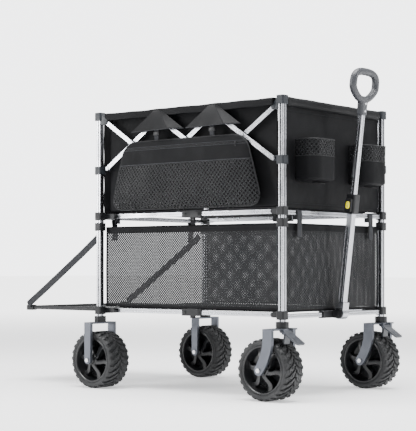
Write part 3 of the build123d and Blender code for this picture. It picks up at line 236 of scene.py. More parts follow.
def bands(material, pitch, direction, source, turn=0.0):
    """Parallel threads, one every pitch metres."""
    wave = add_node(material, "ShaderNodeTexWave", Scale=2 * math.pi / (20 * pitch), bands_direction=direction)
    wire(material, coordinates(material, source, turn=turn), wave.inputs["Vector"])
    return wave.outputs["Fac"]


def combine(material, operation, first, second):
    """Arithmetic on two pattern sockets."""
    step = add_node(material, "ShaderNodeMath", operation=operation)
    for socket, value in zip(step.inputs, (first, second)):
        if isinstance(value, (int, float)):
            socket.default_value = value
        else:
            wire(material, value, socket)
    return step.outputs[0]


def add_weave(material, pitch, distance, source="UV"):
    """Threads that cross, as on plain woven cloth."""
    crossing = combine(material, "MULTIPLY", bands(material, pitch, "X", source), bands(material, pitch, "Y", source))
    if source == "Object":
        crossing = combine(material, "ADD", crossing, bands(material, pitch, "Z", source))
    add_bump(material, crossing, distance)


HOLE_COVER = 0.42


def add_holes(material, pitch, size, squash=1.0):
    """Rows of knitted holes, cut through the cloth by the shader's alpha."""
    place = coordinates(material, "UV", (1 / pitch, squash / pitch, 1.0), math.radians(45))
    cells = add_node(material, "ShaderNodeTexVoronoi", voronoi_dimensions="2D", Randomness=0.0, Scale=1.0)
    wire(material, place, cells.inputs["Vector"])
    solid = combine(material, "GREATER_THAN", cells.outputs["Distance"], size)
    cover = combine(material, "MAXIMUM", solid, HOLE_COVER)
    wire(material, cover, shader_of(material).inputs["Alpha"])
    add_bump(material, cells.outputs["Distance"], 0.0006)


# %% [markdown]
# The bars are drawn aluminium: bright, a little brushed along their length and brighter on the
# edges. The forks are the same grey as a powder coat with metal flake in it.

# %% Metal finishes
bar_metal = new_finish("drawn_aluminium", (0.6, 0.61, 0.64), 0.24, metallic=1.0)
soften_edges(bar_metal, 0.9 * MM)
add_grain(bar_metal, 420.0, 0.00004, stretch=(1.0, 1.0, 0.05))
vary(bar_metal, "Roughness", 14.0, 0.20, 0.33)
# painted shade: the bars are darkened in grooves and corners where light is blocked
paint_hollow_shade(bar_metal, (0.03, 0.031, 0.034), (0.52, 0.53, 0.56), 4 * MM)

post_metal = new_finish("drawn_post", (0.52, 0.53, 0.56), 0.24, metallic=1.0)
soften_edges(post_metal, 0.9 * MM)
vary(post_metal, "Roughness", 14.0, 0.20, 0.33)
# painted shade: dark lines along the groove down the middle of each post face
paint_groove_shade(post_metal, (FRONT_X, SIDE_Y), 2.3 * MM, (0.02, 0.021, 0.024), (0.55, 0.56, 0.59))

rivet_metal = new_finish("plated_steel", (0.62, 0.62, 0.64), 0.3, metallic=1.0)
soften_edges(rivet_metal, 0.6 * MM)
vary(rivet_metal, "Roughness", 60.0, 0.22, 0.42)

fork_coat = new_finish("grey_powder_coat", (0.1, 0.107, 0.125), 0.36, metallic=0.75, coat=0.15)
soften_edges(fork_coat, 1.6 * MM)
add_grain(fork_coat, 900.0, 0.00006)
vary(fork_coat, "Roughness", 25.0, 0.34, 0.5)

# %% [markdown]
# Mouldings come in four kinds: black fittings, slate caps, the mid-grey grip and a glossy yellow
# button. All have a fine spark-eroded grain that breaks up the highlight.

# %% Plastic finishes
fitting_plastic = new_finish("black_moulding", (0.007, 0.0074, 0.0085), 0.42)
shader_of(fitting_plastic).inputs["Specular IOR Level"].default_value = 0.3
soften_edges(fitting_plastic, 1.0 * MM)
add_grain(fitting_plastic, 1100.0, 0.00008)
vary(fitting_plastic, "Roughness", 40.0, 0.36, 0.52)

cap_plastic = new_finish("slate_moulding", (0.013, 0.0155, 0.019), 0.42)
shader_of(cap_plastic).inputs["Specular IOR Level"].default_value = 0.3
soften_edges(cap_plastic, 1.4 * MM)
add_grain(cap_plastic, 1100.0, 0.00008)
vary(cap_plastic, "Roughness", 40.0, 0.34, 0.5)

pedal_plastic = new_finish("pedal_moulding", (0.05, 0.054, 0.062), 0.4)
soften_edges(pedal_plastic, 1.2 * MM)
add_grain(pedal_plastic, 800.0, 0.0001)

grip_plastic = new_finish("grip_moulding", (0.03, 0.032, 0.037), 0.36)
add_grain(grip_plastic, 1000.0, 0.00007)
vary(grip_plastic, "Roughness", 30.0, 0.33, 0.46)

button_plastic = new_finish("yellow_button", (0.82, 0.72, 0.02), 0.28, coat=0.4)
soften_edges(button_plastic, 1.0 * MM)
add_grain(button_plastic, 500.0, 0.00004)

wheel_plastic = new_finish("wheel_moulding", (0.008, 0.0085, 0.0095), 0.32)
add_grain(wheel_plastic, 700.0, 0.00006)
vary(wheel_plastic, "Roughness", 30.0, 0.26, 0.42)

tyre_rubber = new_finish("tyre_rubber", (0.011, 0.0115, 0.0125), 0.6)
add_grain(tyre_rubber, 650.0, 0.00015)
vary(tyre_rubber, "Roughness", 18.0, 0.52, 0.75)

# %% [markdown]
# The tub is a heavy coated polyester, matt black with a faint sheen. The basket and the lower
# part of the pockets are a knitted mesh: the same yarn with real holes, so that light passes.

# %% Cloth finishes


def tub_finish(name, source):
    """Coated woven polyester, in UV metres on a sheet or in object metres on a padded piece."""
    cloth = new_finish(name, (0.006, 0.0062, 0.007), 0.62)
    shader_of(cloth).inputs["Specular IOR Level"].default_value = 0.1
    add_weave(cloth, 1.5 * MM, 0.00012, source)
    add_grain(cloth, 16.0, 0.003, detail=2.0)
    vary_colour(cloth, 5.0, (0.003, 0.0031, 0.0036), (0.0052, 0.0054, 0.0062))
    vary(cloth, "Roughness", 7.0, 0.52, 0.7)
    return cloth


tub_cloth = tub_finish("tub_cloth", "UV")
sleeve_cloth = tub_finish("sleeve_cloth", "Object")
shader_of(sleeve_cloth).inputs["Coat Weight"].default_value = 0.12

binding_cloth = new_finish("binding_tape", (0.007, 0.0074, 0.0084), 0.5)
shader_of(binding_cloth).inputs["Specular IOR Level"].default_value = 0.25
add_weave(binding_cloth, 1.2 * MM, 0.0002)

board_cloth = new_finish("board_cover", (0.008, 0.008, 0.009), 0.75)
shader_of(board_cloth).inputs["Specular IOR Level"].default_value = 0.15
add_weave(board_cloth, 1.4 * MM, 0.00015, "Object")
vary_colour(board_cloth, 8.0, (0.005, 0.005, 0.006), (0.01, 0.01, 0.0115))

webbing_cloth = new_finish("grey_webbing", (0.019, 0.02, 0.023), 0.6)
shader_of(webbing_cloth).inputs["Specular IOR Level"].default_value = 0.2
add_weave(webbing_cloth, 2.2 * MM, 0.0004)
vary(webbing_cloth, "Roughness", 30.0, 0.5, 0.72)


def mesh_finish(name, colour, pitch, size):
    """Knitted mesh with diamond rows of holes."""
    knit = new_finish(name, colour, 0.5)
    shader_of(knit).inputs["Specular IOR Level"].default_value = 0.2
    add_holes(knit, pitch, size)
    vary(knit, "Roughness", 9.0, 0.48, 0.65)
    return knit


basket_knit = mesh_finish("basket_knit", (0.009, 0.0094, 0.0105), 7.0 * MM, 0.29)
pocket_knit = mesh_finish("pocket_knit", (0.0065, 0.0068, 0.0076), 11.5 * MM, 0.38)
print(len(bpy.data.materials), "finishes")

# %% Give the metal and plastic nodes their finish
node_finish = {
    "front_posts": post_metal, "rear_posts": post_metal,
    "front_cross_rails": bar_metal, "rear_cross_rails": bar_metal,
    "front_corner_caps": cap_plastic, "rear_corner_caps": cap_plastic,
    "front_post_fittings": fitting_plastic, "rear_post_fittings": fitting_plastic,
    "front_sliders": cap_plastic, "rear_sliders": cap_plastic,
    "upper_centre_brackets": fitting_plastic, "lower_centre_brackets": fitting_plastic,
    "rear_forks": fork_coat, "rear_axle_bolts": rivet_metal,
    "tailgate_frame": fitting_plastic,
    "handle_yoke": fitting_plastic, "handle_foot": bar_metal,
    "handle_lower_tube": bar_metal, "handle_upper_tube": bar_metal,
    "handle_clamp": fitting_plastic, "handle_button": button_plastic,
}
for node in frame["nodes"]:
    if node.startswith("link_") or node.endswith("_rails"):
        node_finish.setdefault(node, bar_metal)
for hand in ("left", "right"):
    node_finish[f"caster_fork_{hand}"] = fork_coat
    node_finish[f"caster_bolt_{hand}"] = rivet_metal
    node_finish[f"brake_pedal_{hand}"] = pedal_plastic


def dress_node(node, material):
    """Puts one finish on a CAD node's own slots."""
    mesh_object = frame["nodes"][node]
    mesh_object.data.materials.clear()
    mesh_object.data.materials.append(material)


for node, material in node_finish.items():
    dress_node(node, material)
print(len(node_finish), "CAD nodes dressed")

# %% [markdown]
# ## Modelling helpers
# Nearly every soft piece here starts as one flat grid, because cloth is cut flat. Each vertex is
# then moved to its place on the wagon by a small function of u and v, and the UV map keeps the
# flat cut in metres, which is what the weave follows.

# %% Helpers for meshes


def keep_piece(bm, name, body, slot, *materials, smooth=True):
    """Turns a bmesh into a piece that rides on a CAD body."""
    mesh = bpy.data.meshes.new(name)
    bm.to_mesh(mesh)
    bm.free()
    for material in materials:
        mesh.materials.append(material)
    mesh.polygons.foreach_set("use_smooth", [smooth] * len(mesh.polygons))
    piece = bpy.data.objects.new(name, mesh)
    scene.collection.objects.link(piece)
    if body:
        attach(piece, body)
    return piece


def shaped_grid(columns, rows, flat, place, weld=False):
    """A grid of cloth, cut flat = (width, height), with each vertex moved to place(u, v)."""
    bm = bmesh.new()
    bmesh.ops.create_grid(bm, x_segments=columns, y_segments=rows, size=0.5)
    layer = bm.loops.layers.uv.new("cut")
    for face in bm.faces:
        for loop in face.loops:
            loop[layer].uv = ((loop.vert.co.x + 0.5) * flat[0], (loop.vert.co.y + 0.5) * flat[1])
    for vertex in bm.verts:
        vertex.co = place(min(1.0, max(0.0, vertex.co.x + 0.5)), min(1.0, max(0.0, vertex.co.y + 0.5)))
    if weld:
        bmesh.ops.remove_doubles(bm, verts=bm.verts, dist=0.00005)
        bmesh.ops.recalc_face_normals(bm, faces=bm.faces)
    return bm


def thicken(piece, thickness, offset=0.0):
    """Gives a sheet its real thickness."""
    solid = piece.modifiers.new("thickness", "SOLIDIFY")
    solid.thickness = thickness
    solid.offset = offset
    return piece


def ribbon(route, width_axis, width, columns=None):
    """Webbing laid along a list of points, its width along one axis."""
    points = [Vector(point) for point in route]
    lengths = [0.0]
    for first, second in zip(points, points[1:]):
        lengths.append(lengths[-1] + (second - first).length)
    total = lengths[-1]
    across = Vector(width_axis) * width

    def place(u, v):
        target = v * total
        for number in range(1, len(points)):
            if target <= lengths[number] + 1e-9:
                share = (target - lengths[number - 1]) / (lengths[number] - lengths[number - 1])
                return points[number - 1].lerp(points[number], share) + across * (u - 0.5)
        return points[-1] + across * (u - 0.5)

    return shaped_grid(4, columns or max(8, int(total / 0.006)), (width, total), place)


def beading(route, radius, sides=8, closed=False):
    """A round bead, such as piping or a wire, swept along a list of points."""
    points = [Vector(point) for point in route]
    count = len(points)

    def place(u, v):
        number = round(v * (count if closed else count - 1)) % count
        before = points[(number - 1) % count] if closed or number else points[0]
        after = points[(number + 1) % count] if closed or number < count - 1 else points[-1]
        forward = (after - before).normalized()
        side = forward.orthogonal() if abs(forward.z) > 0.99 else forward.cross(Vector((0, 0, 1)))
        side.normalize()
        up = side.cross(forward)
        turn = 2 * math.pi * u
        return points[number] + radius * (math.cos(turn) * side + math.sin(turn) * up)

    bm = shaped_grid(sides, count if closed else count - 1, (2 * math.pi * radius, 1.0), place, weld=True)
    return bm


def wrinkle(place, size, depth):
    """A signed, repeatable crease height at a point."""
    return depth * noise.noise(Vector(place) / size)


def fold_with_sides(piece):
    """Gives the piece its own copy of its mesh."""
    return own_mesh(piece)


def merge_into(target, source):
    """Adds one bmesh to another."""
    mesh = bpy.data.meshes.new("joined")
    source.to_mesh(mesh)
    source.free()
    target.from_mesh(mesh)
    bpy.data.meshes.remove(mesh)


# %% [markdown]
# A padded piece is blown up from inside by a short cloth simulation, which gives it the tight
# crown and small puckers of stuffed fabric. The mesh is first made even, the movement is capped,
# and the result replaces the mesh.

# %% Helper that stuffs a padded piece


def stuff(piece, voxel, reach, pressure=4.0, frames=20):
    """Inflates a closed mesh by cloth simulation and keeps the result."""
    remesh = piece.modifiers.new("even", "REMESH")
    remesh.mode = "VOXEL"
    remesh.voxel_size = voxel
    ready = bpy.context.evaluated_depsgraph_get()
    even = bpy.data.meshes.new_from_object(piece.evaluated_get(ready))
    piece.modifiers.clear()
    piece.data = even
    start = [vertex.co.copy() for vertex in even.vertices]
    cloth = piece.modifiers.new("stuffing", "CLOTH")
    cloth.settings.use_pressure = True
    cloth.settings.uniform_pressure_force = pressure
    cloth.settings.effector_weights.gravity = 0.0
    cloth.settings.quality = 4
    cloth.point_cache.frame_start = 1
    cloth.point_cache.frame_end = frames
    for number in range(1, frames + 1):
        scene.frame_set(number)
    ready = bpy.context.evaluated_depsgraph_get()
    moved = piece.evaluated_get(ready).data
    goals = [vertex.co.copy() for vertex in moved.vertices]
    piece.modifiers.clear()
    scene.frame_set(1)
    for vertex, old, goal in zip(even.vertices, start, goals):
        step = goal - old
        vertex.co = old + (step.normalized() * reach if step.length > reach else step)
    even.polygons.foreach_set("use_smooth", [True] * len(even.polygons))
    return piece


# %% [markdown]
# ## The tub ends
# Each end is one cloth panel that hangs from a padded sleeve round the top rail. The panel is
# stretched, so it is nearly flat: it only bellies a little and draws soft lines from its corners.

# %% End panels and padded sleeves
panel_low, panel_high = corners("front_upper_panel")
PANEL_HALF = panel_high.y
SLEEVE_HEIGHT = 37 * MM
SLEEVE_DEPTH = panel_high.x - panel_low.x
PANEL_BOTTOM = panel_low.z
SLEEVE_Z = FRAME_TOP - SLEEVE_HEIGHT / 2
PANEL_X = FRONT_X - 3.5 * MM


def end_sleeve(end, sign):
    """Padded roll round the top rail: an oval tube with closed ends."""

    def place(u, v):
        turn = 2 * math.pi * u
        along = -1 + 2 * v
        closing = math.sqrt(min(1.0, max(0.0, (1 - abs(along)) / 0.03)))
        swell = 0.93 + 0.05 * noise.noise(Vector((along * 4, sign, turn)))
        x = math.copysign(abs(math.cos(turn)) ** 0.8, math.cos(turn)) * SLEEVE_DEPTH / 2 * closing * swell
        z = math.copysign(abs(math.sin(turn)) ** 0.8, math.sin(turn)) * SLEEVE_HEIGHT / 2 * closing * swell
        return Vector((sign * FRONT_X + x, along * PANEL_HALF, SLEEVE_Z + z))

    bm = shaped_grid(32, 120, (0.1, 2 * PANEL_HALF), place, weld=True)
    sleeve = keep_piece(bm, f"{end}_sleeve", f"{end}_frame", "tub_fabric", sleeve_cloth)
    stuff(sleeve, 4 * MM, 1.2 * MM)
    return sleeve


def end_cloth(end, sign):
    """The stretched panel below the sleeve, with a turned hem along its foot."""
    height = SLEEVE_Z - PANEL_BOTTOM

    def place(u, v):
        y = (-1 + 2 * u) * PANEL_HALF
        z = PANEL_BOTTOM + v * height
        belly = 5 * MM * math.sin(math.pi * v) * math.cos(y / PANEL_HALF * math.pi / 2)
        crease = wrinkle((y, z * 0.6, sign), 0.11, 2.2 * MM) * math.sin(math.pi * v)
        corner = 1.5 * MM * math.sin(60 * (abs(y) - z)) * (abs(y) / PANEL_HALF) ** 3 * (1 - v)
        hem = 1.0 * MM if v < 0.045 else 0.0
        return Vector((sign * (PANEL_X - 1 * MM + belly * 0.35 + crease * 0.6 + corner + hem), y, z))

    bm = shaped_grid(90, 66, (2 * PANEL_HALF, height), place)
    cloth = keep_piece(bm, f"{end}_panel", f"{end}_frame", "tub_fabric", tub_cloth)
    thicken(cloth, 1.6 * MM)
    return cloth


for end, sign in (("front", 1), ("rear", -1)):
    sleeve = end_sleeve(end, sign)
    cloth = end_cloth(end, sign)
    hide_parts(f"{end}_upper_panel")
    print(end, "end:", len(sleeve.data.vertices), "sleeve vertices")

# %% [markdown]
# The panel has sewn lines: one under the sleeve, and a hem line near its foot. A seam is a low
# bead of thread-pulled cloth, modelled as a thin strip so that it catches the light.

# %% Seams on the end panels


def seam_line(name, body, start, end, out):
    """A row of stitches: short, slightly raised dashes between two points."""
    bm = bmesh.new()
    begin, finish = Vector(start), Vector(end)
    forward = (finish - begin).normalized()
    length = (finish - begin).length
    count = max(4, int(length / 0.006))
    for number in range(count):
        middle = begin.lerp(finish, (number + 0.5) / count) + Vector(out) * 0.4 * MM
        turn = forward.to_track_quat("X", "Z").to_matrix().to_4x4()
        shape = Matrix.Diagonal((3.4 * MM, 0.9 * MM, 0.9 * MM, 1.0))
        bmesh.ops.create_cube(bm, size=1.0, matrix=Matrix.Translation(middle) @ turn @ shape)
    return keep_piece(bm, name, body, "tub_fabric", webbing_cloth)


for end, sign in (("front", 1), ("rear", -1)):
    face_x = sign * (PANEL_X + 2.2 * MM)
    reach = PANEL_HALF - 8 * MM
    for label, z in (("upper", SLEEVE_Z - SLEEVE_HEIGHT / 2 - 9 * MM), ("lower", PANEL_BOTTOM + 17 * MM)):
        seam_line(f"{end}_panel_{label}_stitches", f"{end}_frame",
                  (face_x, -reach, z), (face_x, reach, z), (sign, 0, 0))

# %% [markdown]
# ## Cup holders
# Two open pockets are sewn to the front panel. The lower two thirds is the same cloth as the
# tub, the upper band is open mesh, and a bound rim keeps the mouth in shape.

# %% Cup holders
cup_low, cup_high = corners("front_cup_holders")
CUP_OUT = cup_high.x - cup_low.x
CUP_WIDTH = 138 * MM
CUP_Y = cup_high.y - CUP_WIDTH / 2
CUP_BAND = 0.615
CUP_CORNER = 38 * MM
CUP_WALL = 2 * MM


def pocket_plan(u, shrink=1.0):
    """Point on the pocket's plan from one sewn edge, round the front, to the other."""
    half = (CUP_WIDTH / 2 - CUP_WALL) * shrink
    depth = (CUP_OUT - CUP_WALL) * (0.25 + 0.75 * shrink)
    radius = min(CUP_CORNER, half * 0.9, depth * 0.9)
    side = depth - radius
    arc = radius * math.pi / 2
    flat = 2 * (half - radius)
    place = u * (2 * side + 2 * arc + flat)
    if place < side:
        return place, -half
    if place < side + arc:
        turn = (place - side) / radius
        return side + radius * math.sin(turn), -half + radius * (1 - math.cos(turn))
    if place < side + arc + flat:
        return depth, -half + radius + place - side - arc
    if place < side + 2 * arc + flat:
        turn = (place - side - arc - flat) / radius
        return side + radius * math.cos(turn), half - radius * (1 - math.sin(turn))
    return max(0.0, side - (place - side - 2 * arc - flat)), half


def cup_pocket(hand, sign):
    """One pocket: rounded foot, cloth body and mesh band."""
    height = cup_high.z - cup_low.z
    wide = CUP_WIDTH + 2 * CUP_OUT

    def place(u, v):
        tuck = max(0.0, 0.1 - v) / 0.1
        shrink = 1 - 0.22 * tuck**2 - 0.02 * (1 - v)
        x, y = pocket_plan(u, shrink)
        z = cup_low.z + height * v + 5 * MM * tuck
        soft = wrinkle((y * 1.5, z, sign * 3), 0.05, 1.5 * MM)
        return Vector((cup_low.x + x + soft * (x / CUP_OUT), sign * CUP_Y + y, z))

    bm = shaped_grid(72, 52, (wide, height), place)
    for face in bm.faces:
        middle = face.calc_center_median()
        face.material_index = 1 if middle.z > cup_low.z + CUP_BAND * height else 0
    pocket = keep_piece(bm, f"cup_pocket_{hand}", "front_frame", "tub_fabric", tub_cloth, pocket_knit)
    thicken(pocket, 1.4 * MM)
    return pocket


def cup_trim(hand, sign):
    """The bound mouth, the tape between cloth and mesh, and the foot of the pocket."""
    height = cup_high.z - cup_low.z
    rim = bmesh.new()
    for level, radius in ((1.0, 2.2 * MM), (CUP_BAND, 1.3 * MM)):
        route = []
        for step in range(61):
            x, y = pocket_plan(step / 60)
            route.append((cup_low.x + x, sign * CUP_Y + y, cup_low.z + height * level - radius))
        merge_into(rim, beading(route, radius))
    keep_piece(rim, f"cup_binding_{hand}", "front_frame", "tub_fabric", binding_cloth)

    def floor(u, v):
        x, y = pocket_plan(u, 0.78 * v + 0.001)
        return Vector((cup_low.x + x * (0.1 + 0.9 * v), sign * CUP_Y + y, cup_low.z + (6 - 3 * (1 - v)) * MM))

    foot = keep_piece(shaped_grid(48, 8, (0.2, 0.05), floor, weld=True), f"cup_foot_{hand}", "front_frame",
                      "tub_fabric", tub_cloth)
    thicken(foot, 1.4 * MM)
    tab = [(cup_low.x + 30 * MM, sign * CUP_Y, cup_low.z + 2 * MM),
           (cup_low.x + 62 * MM, sign * CUP_Y, cup_low.z - 3 * MM)]
    strap = keep_piece(ribbon(tab, (0, 1, 0), 30 * MM), f"cup_tab_{hand}", "front_frame", "webbing", binding_cloth)
    thicken(strap, 1.6 * MM)


for hand, sign in (("left", 1), ("right", -1)):
    pocket = cup_pocket(hand, sign)
    cup_trim(hand, sign)
    if hand == "left":
        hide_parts("front_cup_holders")
print("cup holders", round(CUP_WIDTH, 3), "wide,", round(CUP_OUT, 3), "deep")

# %% [markdown]
# ## The long sides of the tub
# A long side is one sheet that runs down inside the scissors. At the top it rolls outwards over
# them into a stiff hem, and two tent-shaped flaps cover the upper scissor joints: each flap has
# a sharp ridge along the falling link, because the link pushes the cloth outwards there.

# %% Long side walls
WALL_Y = SIDE_Y - 17.5 * MM
WALL_HALF = walls_high.x
WALL_BOTTOM = walls_low.z
HEM_TOP = walls_high.z
OUTER_LINK_Y = walls_high.y - 6.4 * MM


def side_wall(hand, sign):
    """Inner sheet of one long side, pleated where the wagon folds, with slack between posts."""
    height = HEM_TOP - WALL_BOTTOM

    def place(u, v):
        x = (-1 + 2 * u) * WALL_HALF
        z = WALL_BOTTOM + v * height
        middle = math.sin(math.pi * min(1.0, v))
        pleat = 3.0 * MM * math.cos(3 * math.pi * x / WALL_HALF) * middle
        crease = wrinkle((x, z, sign), 0.09, 2.0 * MM) * middle
        return Vector((x, sign * (WALL_Y - 2 * MM + pleat * 0.5 + crease * 0.5), z))

    bm = shaped_grid(120, 54, (2 * WALL_HALF, height), place)
    wall = keep_piece(bm, f"tub_side_{hand}", "front_frame", "tub_fabric", tub_cloth)
    thicken(wall, 1.6 * MM)
    return fold_with_sides(wall)


def rolled_hem(hand, sign):
    """Stiff hem that rolls from the wall over the top of the scissors and down outside them."""
    inner = WALL_Y - 1 * MM
    outer = OUTER_LINK_Y + 2 * MM
    drop = 24 * MM
    route = [(inner, HEM_TOP - 12 * MM), (inner, HEM_TOP - 3 * MM), (inner + 3 * MM, HEM_TOP),
             (outer - 3 * MM, HEM_TOP), (outer, HEM_TOP - 3 * MM), (outer, HEM_TOP - drop)]
    lengths = [math.dist(a, b) for a, b in zip(route, route[1:])]
    total = sum(lengths)

    def place(u, v):
        x = (-1 + 2 * u) * WALL_HALF
        target = v * total
        for number, length in enumerate(lengths):
            if target <= length + 1e-9:
                share = target / length
                y = route[number][0] + share * (route[number + 1][0] - route[number][0])
                z = route[number][1] + share * (route[number + 1][1] - route[number][1])
                break
            target -= length
        sag = 1.6 * MM * (0.5 - 0.5 * math.cos(6 * math.pi * x / WALL_HALF)) + wrinkle((x, z, sign), 0.05, 1.2 * MM)
        return Vector((x, sign * y, z - sag))

    bm = shaped_grid(120, 26, (2 * WALL_HALF, total), place)
    hem = keep_piece(bm, f"tub_hem_{hand}", "front_frame", "tub_fabric", tub_cloth)
    thicken(hem, 1.4 * MM)
    return fold_with_sides(hem)


def joint_flap(hand, sign, middle_x, number):
    """Wide flap over one upper scissor joint: a sharp ridge runs down from the hem to a low corner."""
    top_z = HEM_TOP - 3 * MM
    low_z = HEM_TOP - 75 * MM
    base = OUTER_LINK_Y + 3 * MM
    peak = 21 * MM
    half_top = 12 * MM
    half_low = 119 * MM

    def place(u, v):
        fall = 1 - v
        x = middle_x + (-1 + 2 * u) * (half_top + (half_low - half_top) * fall)
        ridge = 0.76
        share = u / ridge if u < ridge else (1 - u) / (1 - ridge)
        out = peak * fall * share
        crease = wrinkle((x, v * 0.1, number), 0.04, 1.2 * MM) * fall
        return Vector((x, sign * (base + out + crease * 0.5), top_z + (low_z - top_z) * fall))

    wide = 2 * half_low
    tall = 75 * MM
    bm = shaped_grid(60, 28, (wide, tall), place)
    flap = keep_piece(bm, f"joint_flap_{hand}_{number}", "front_frame", "tub_fabric", sleeve_cloth)
    thicken(flap, 1.3 * MM)
    fold_with_sides(flap)
    hem_route = [place(step / 32, 0.0) for step in range(33)]
    fold_with_sides(keep_piece(beading(hem_route, 1.1 * MM), f"joint_flap_edge_{hand}_{number}", "front_frame",
                               "tub_fabric", webbing_cloth))


for hand, sign in (("left", 1), ("right", -1)):
    wall = side_wall(hand, sign)
    hem = rolled_hem(hand, sign)
    if hand == "left":
        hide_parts("upper_side_walls")
    for number, middle_x in enumerate((-UPPER_JOINT_X, UPPER_JOINT_X)):
        joint_flap(hand, sign, middle_x, number)
print("long sides", round(2 * WALL_HALF, 3), "long")

# %% [markdown]
# ## The storage bag
# The bag hangs outside the scissors on the right side. Its front is one cushion-like shell with
# a piped edge: plain cloth above, with a zip across it, and open mesh below. Its back is flat.

# %% Storage bag
bag_low, bag_high = corners("side_bag")
BAG_TOP_HALF = 266 * MM
BAG_LOW_HALF = bag_high.x + 5 * MM
BAG_CORNER = 46 * MM
BAG_BACK = bag_high.y
BAG_BULGE = 19 * MM
BAG_HEIGHT = bag_high.z - bag_low.z
BAG_BAND = bag_low.z + 0.655 * BAG_HEIGHT
BAG_ZIP = bag_high.z - 26 * MM


def bag_half_width(z):
    """Half width of the bag at a height, with rounded corners at top and bottom."""
    share = (z - bag_low.z) / BAG_HEIGHT
    half = BAG_LOW_HALF + (BAG_TOP_HALF - BAG_LOW_HALF) * share**1.15
    near = min(z - bag_low.z, bag_high.z - z)
    if near < BAG_CORNER:
        half -= BAG_CORNER - math.sqrt(max(0.0, BAG_CORNER**2 - (BAG_CORNER - near) ** 2))
    return half


def bag_face(u, v, lift=0.0):
    """A point on the bag's front, where lift moves it outwards."""
    z = bag_low.z + v * BAG_HEIGHT
    x = (-1 + 2 * u) * bag_half_width(z)
    edge = (1 - abs(-1 + 2 * u) ** 6) * (1 - abs(-1 + 2 * v) ** 6)
    droop = 1 - 0.35 * v
    crease = wrinkle((x, z, 0.4), 0.07, 2.4 * MM) + wrinkle((x, z, 2.1), 0.028, 0.8 * MM)
    depth = 3 * MM + BAG_BULGE * droop * edge**0.6 + crease * edge
    return Vector((x, BAG_BACK - depth - lift, z))


def bag_front():
    bm = shaped_grid(128, 60, (2 * BAG_LOW_HALF, BAG_HEIGHT), bag_face)
    for face in bm.faces:
        face.material_index = 1 if face.calc_center_median().z < BAG_BAND else 0
    front = keep_piece(bm, "side_bag_front", "front_frame", "tub_fabric", tub_cloth, pocket_knit)
    thicken(front, 1.5 * MM)
    return fold_with_sides(front)


def bag_back():
    def place(u, v):
        z = bag_low.z + v * BAG_HEIGHT
        return Vector(((-1 + 2 * u) * bag_half_width(z), BAG_BACK - 0.5 * MM, z))

    back = keep_piece(shaped_grid(64, 30, (2 * BAG_LOW_HALF, BAG_HEIGHT), place), "side_bag_back", "front_frame",
                      "tub_fabric", tub_cloth)
    thicken(back, 1.2 * MM)
    return fold_with_sides(back)


def bag_edge():
    """The outline of the bag, once round."""
    steps = 40
    left = [bag_face(0.0, step / steps) for step in range(steps + 1)]
    top = [bag_face(step / steps, 1.0) for step in range(1, steps)]
    right = [bag_face(1.0, 1 - step / steps) for step in range(steps + 1)]
    low = [bag_face(1 - step / steps, 0.0) for step in range(1, steps)]
    return left + top + right + low


def bag_trim():
    """Piping round the edge, the tape above the mesh and a second tape near the zip."""
    piping = beading(bag_edge(), 2.4 * MM, closed=True)
    fold_with_sides(keep_piece(piping, "side_bag_piping", "front_frame", "tub_fabric", binding_cloth))
    for label, z, radius in (("band", BAG_BAND, 1.5 * MM), ("zip_low", BAG_ZIP - 5 * MM, 1.0 * MM),
                             ("zip_high", BAG_ZIP + 5 * MM, 1.0 * MM)):
        v = (z - bag_low.z) / BAG_HEIGHT
        route = [bag_face(0.004 + 0.992 * step / 70, v, 0.6 * MM) for step in range(71)]
        fold_with_sides(keep_piece(beading(route, radius), f"side_bag_{label}", "front_frame", "tub_fabric",
                                   webbing_cloth))


def bag_zip():
    """Zip teeth between the two tapes, and a pull at the front end."""
    v = (BAG_ZIP - bag_low.z) / BAG_HEIGHT
    teeth = bmesh.new()
    count = 150
    for number in range(count):
        middle = bag_face(0.03 + 0.94 * number / (count - 1), v, 0.4 * MM)
        middle.z += (1 if number % 2 else -1) * 0.7 * MM
        shape = Matrix.Diagonal((1.7 * MM, 1.6 * MM, 3.0 * MM, 1.0))
        bmesh.ops.create_cube(teeth, size=1.0, matrix=Matrix.Translation(middle) @ shape)
    fold_with_sides(keep_piece(teeth, "side_bag_zip", "front_frame", "tub_fabric", fitting_plastic, smooth=False))
    end = bag_face(0.93, v, 3.0 * MM)
    pull = bmesh.new()
    for drop, size in ((0.0, (6, 3, 4)), (5.0, (2, 2, 6)), (10.0, (4, 2, 6))):
        shape = Matrix.Diagonal((size[0] * MM, size[1] * MM, size[2] * MM, 1.0))
        bmesh.ops.create_cube(pull, size=1.0, matrix=Matrix.Translation(end - Vector((0, 0, drop * MM))) @ shape)
    bmesh.ops.bevel(pull, geom=pull.edges[:], offset=0.7 * MM, segments=2, profile=0.5, affect="EDGES", material=-1)
    fold_with_sides(keep_piece(pull, "side_bag_zip_pull", "front_frame", "tub_fabric", fitting_plastic))


bag = bag_front()
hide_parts("side_bag")
bag_back()
bag_trim()
bag_zip()
print("side bag", round(2 * BAG_LOW_HALF, 3), "wide at the foot")

# %% [markdown]
# ## Webbing
# Grey webbing hangs the bag from the upper scissor joints, plastic rings hold its foot to the
# rail, and two long straps hang the basket from the front cross rail.

# %% Bag tabs and rings


def webbing_strip(name, body, route, width_axis, width, thickness=1.8 * MM, material=webbing_cloth):
    strip = keep_piece(ribbon(route, width_axis, width), name, body, "webbing", material)
    return thicken(strip, thickness)


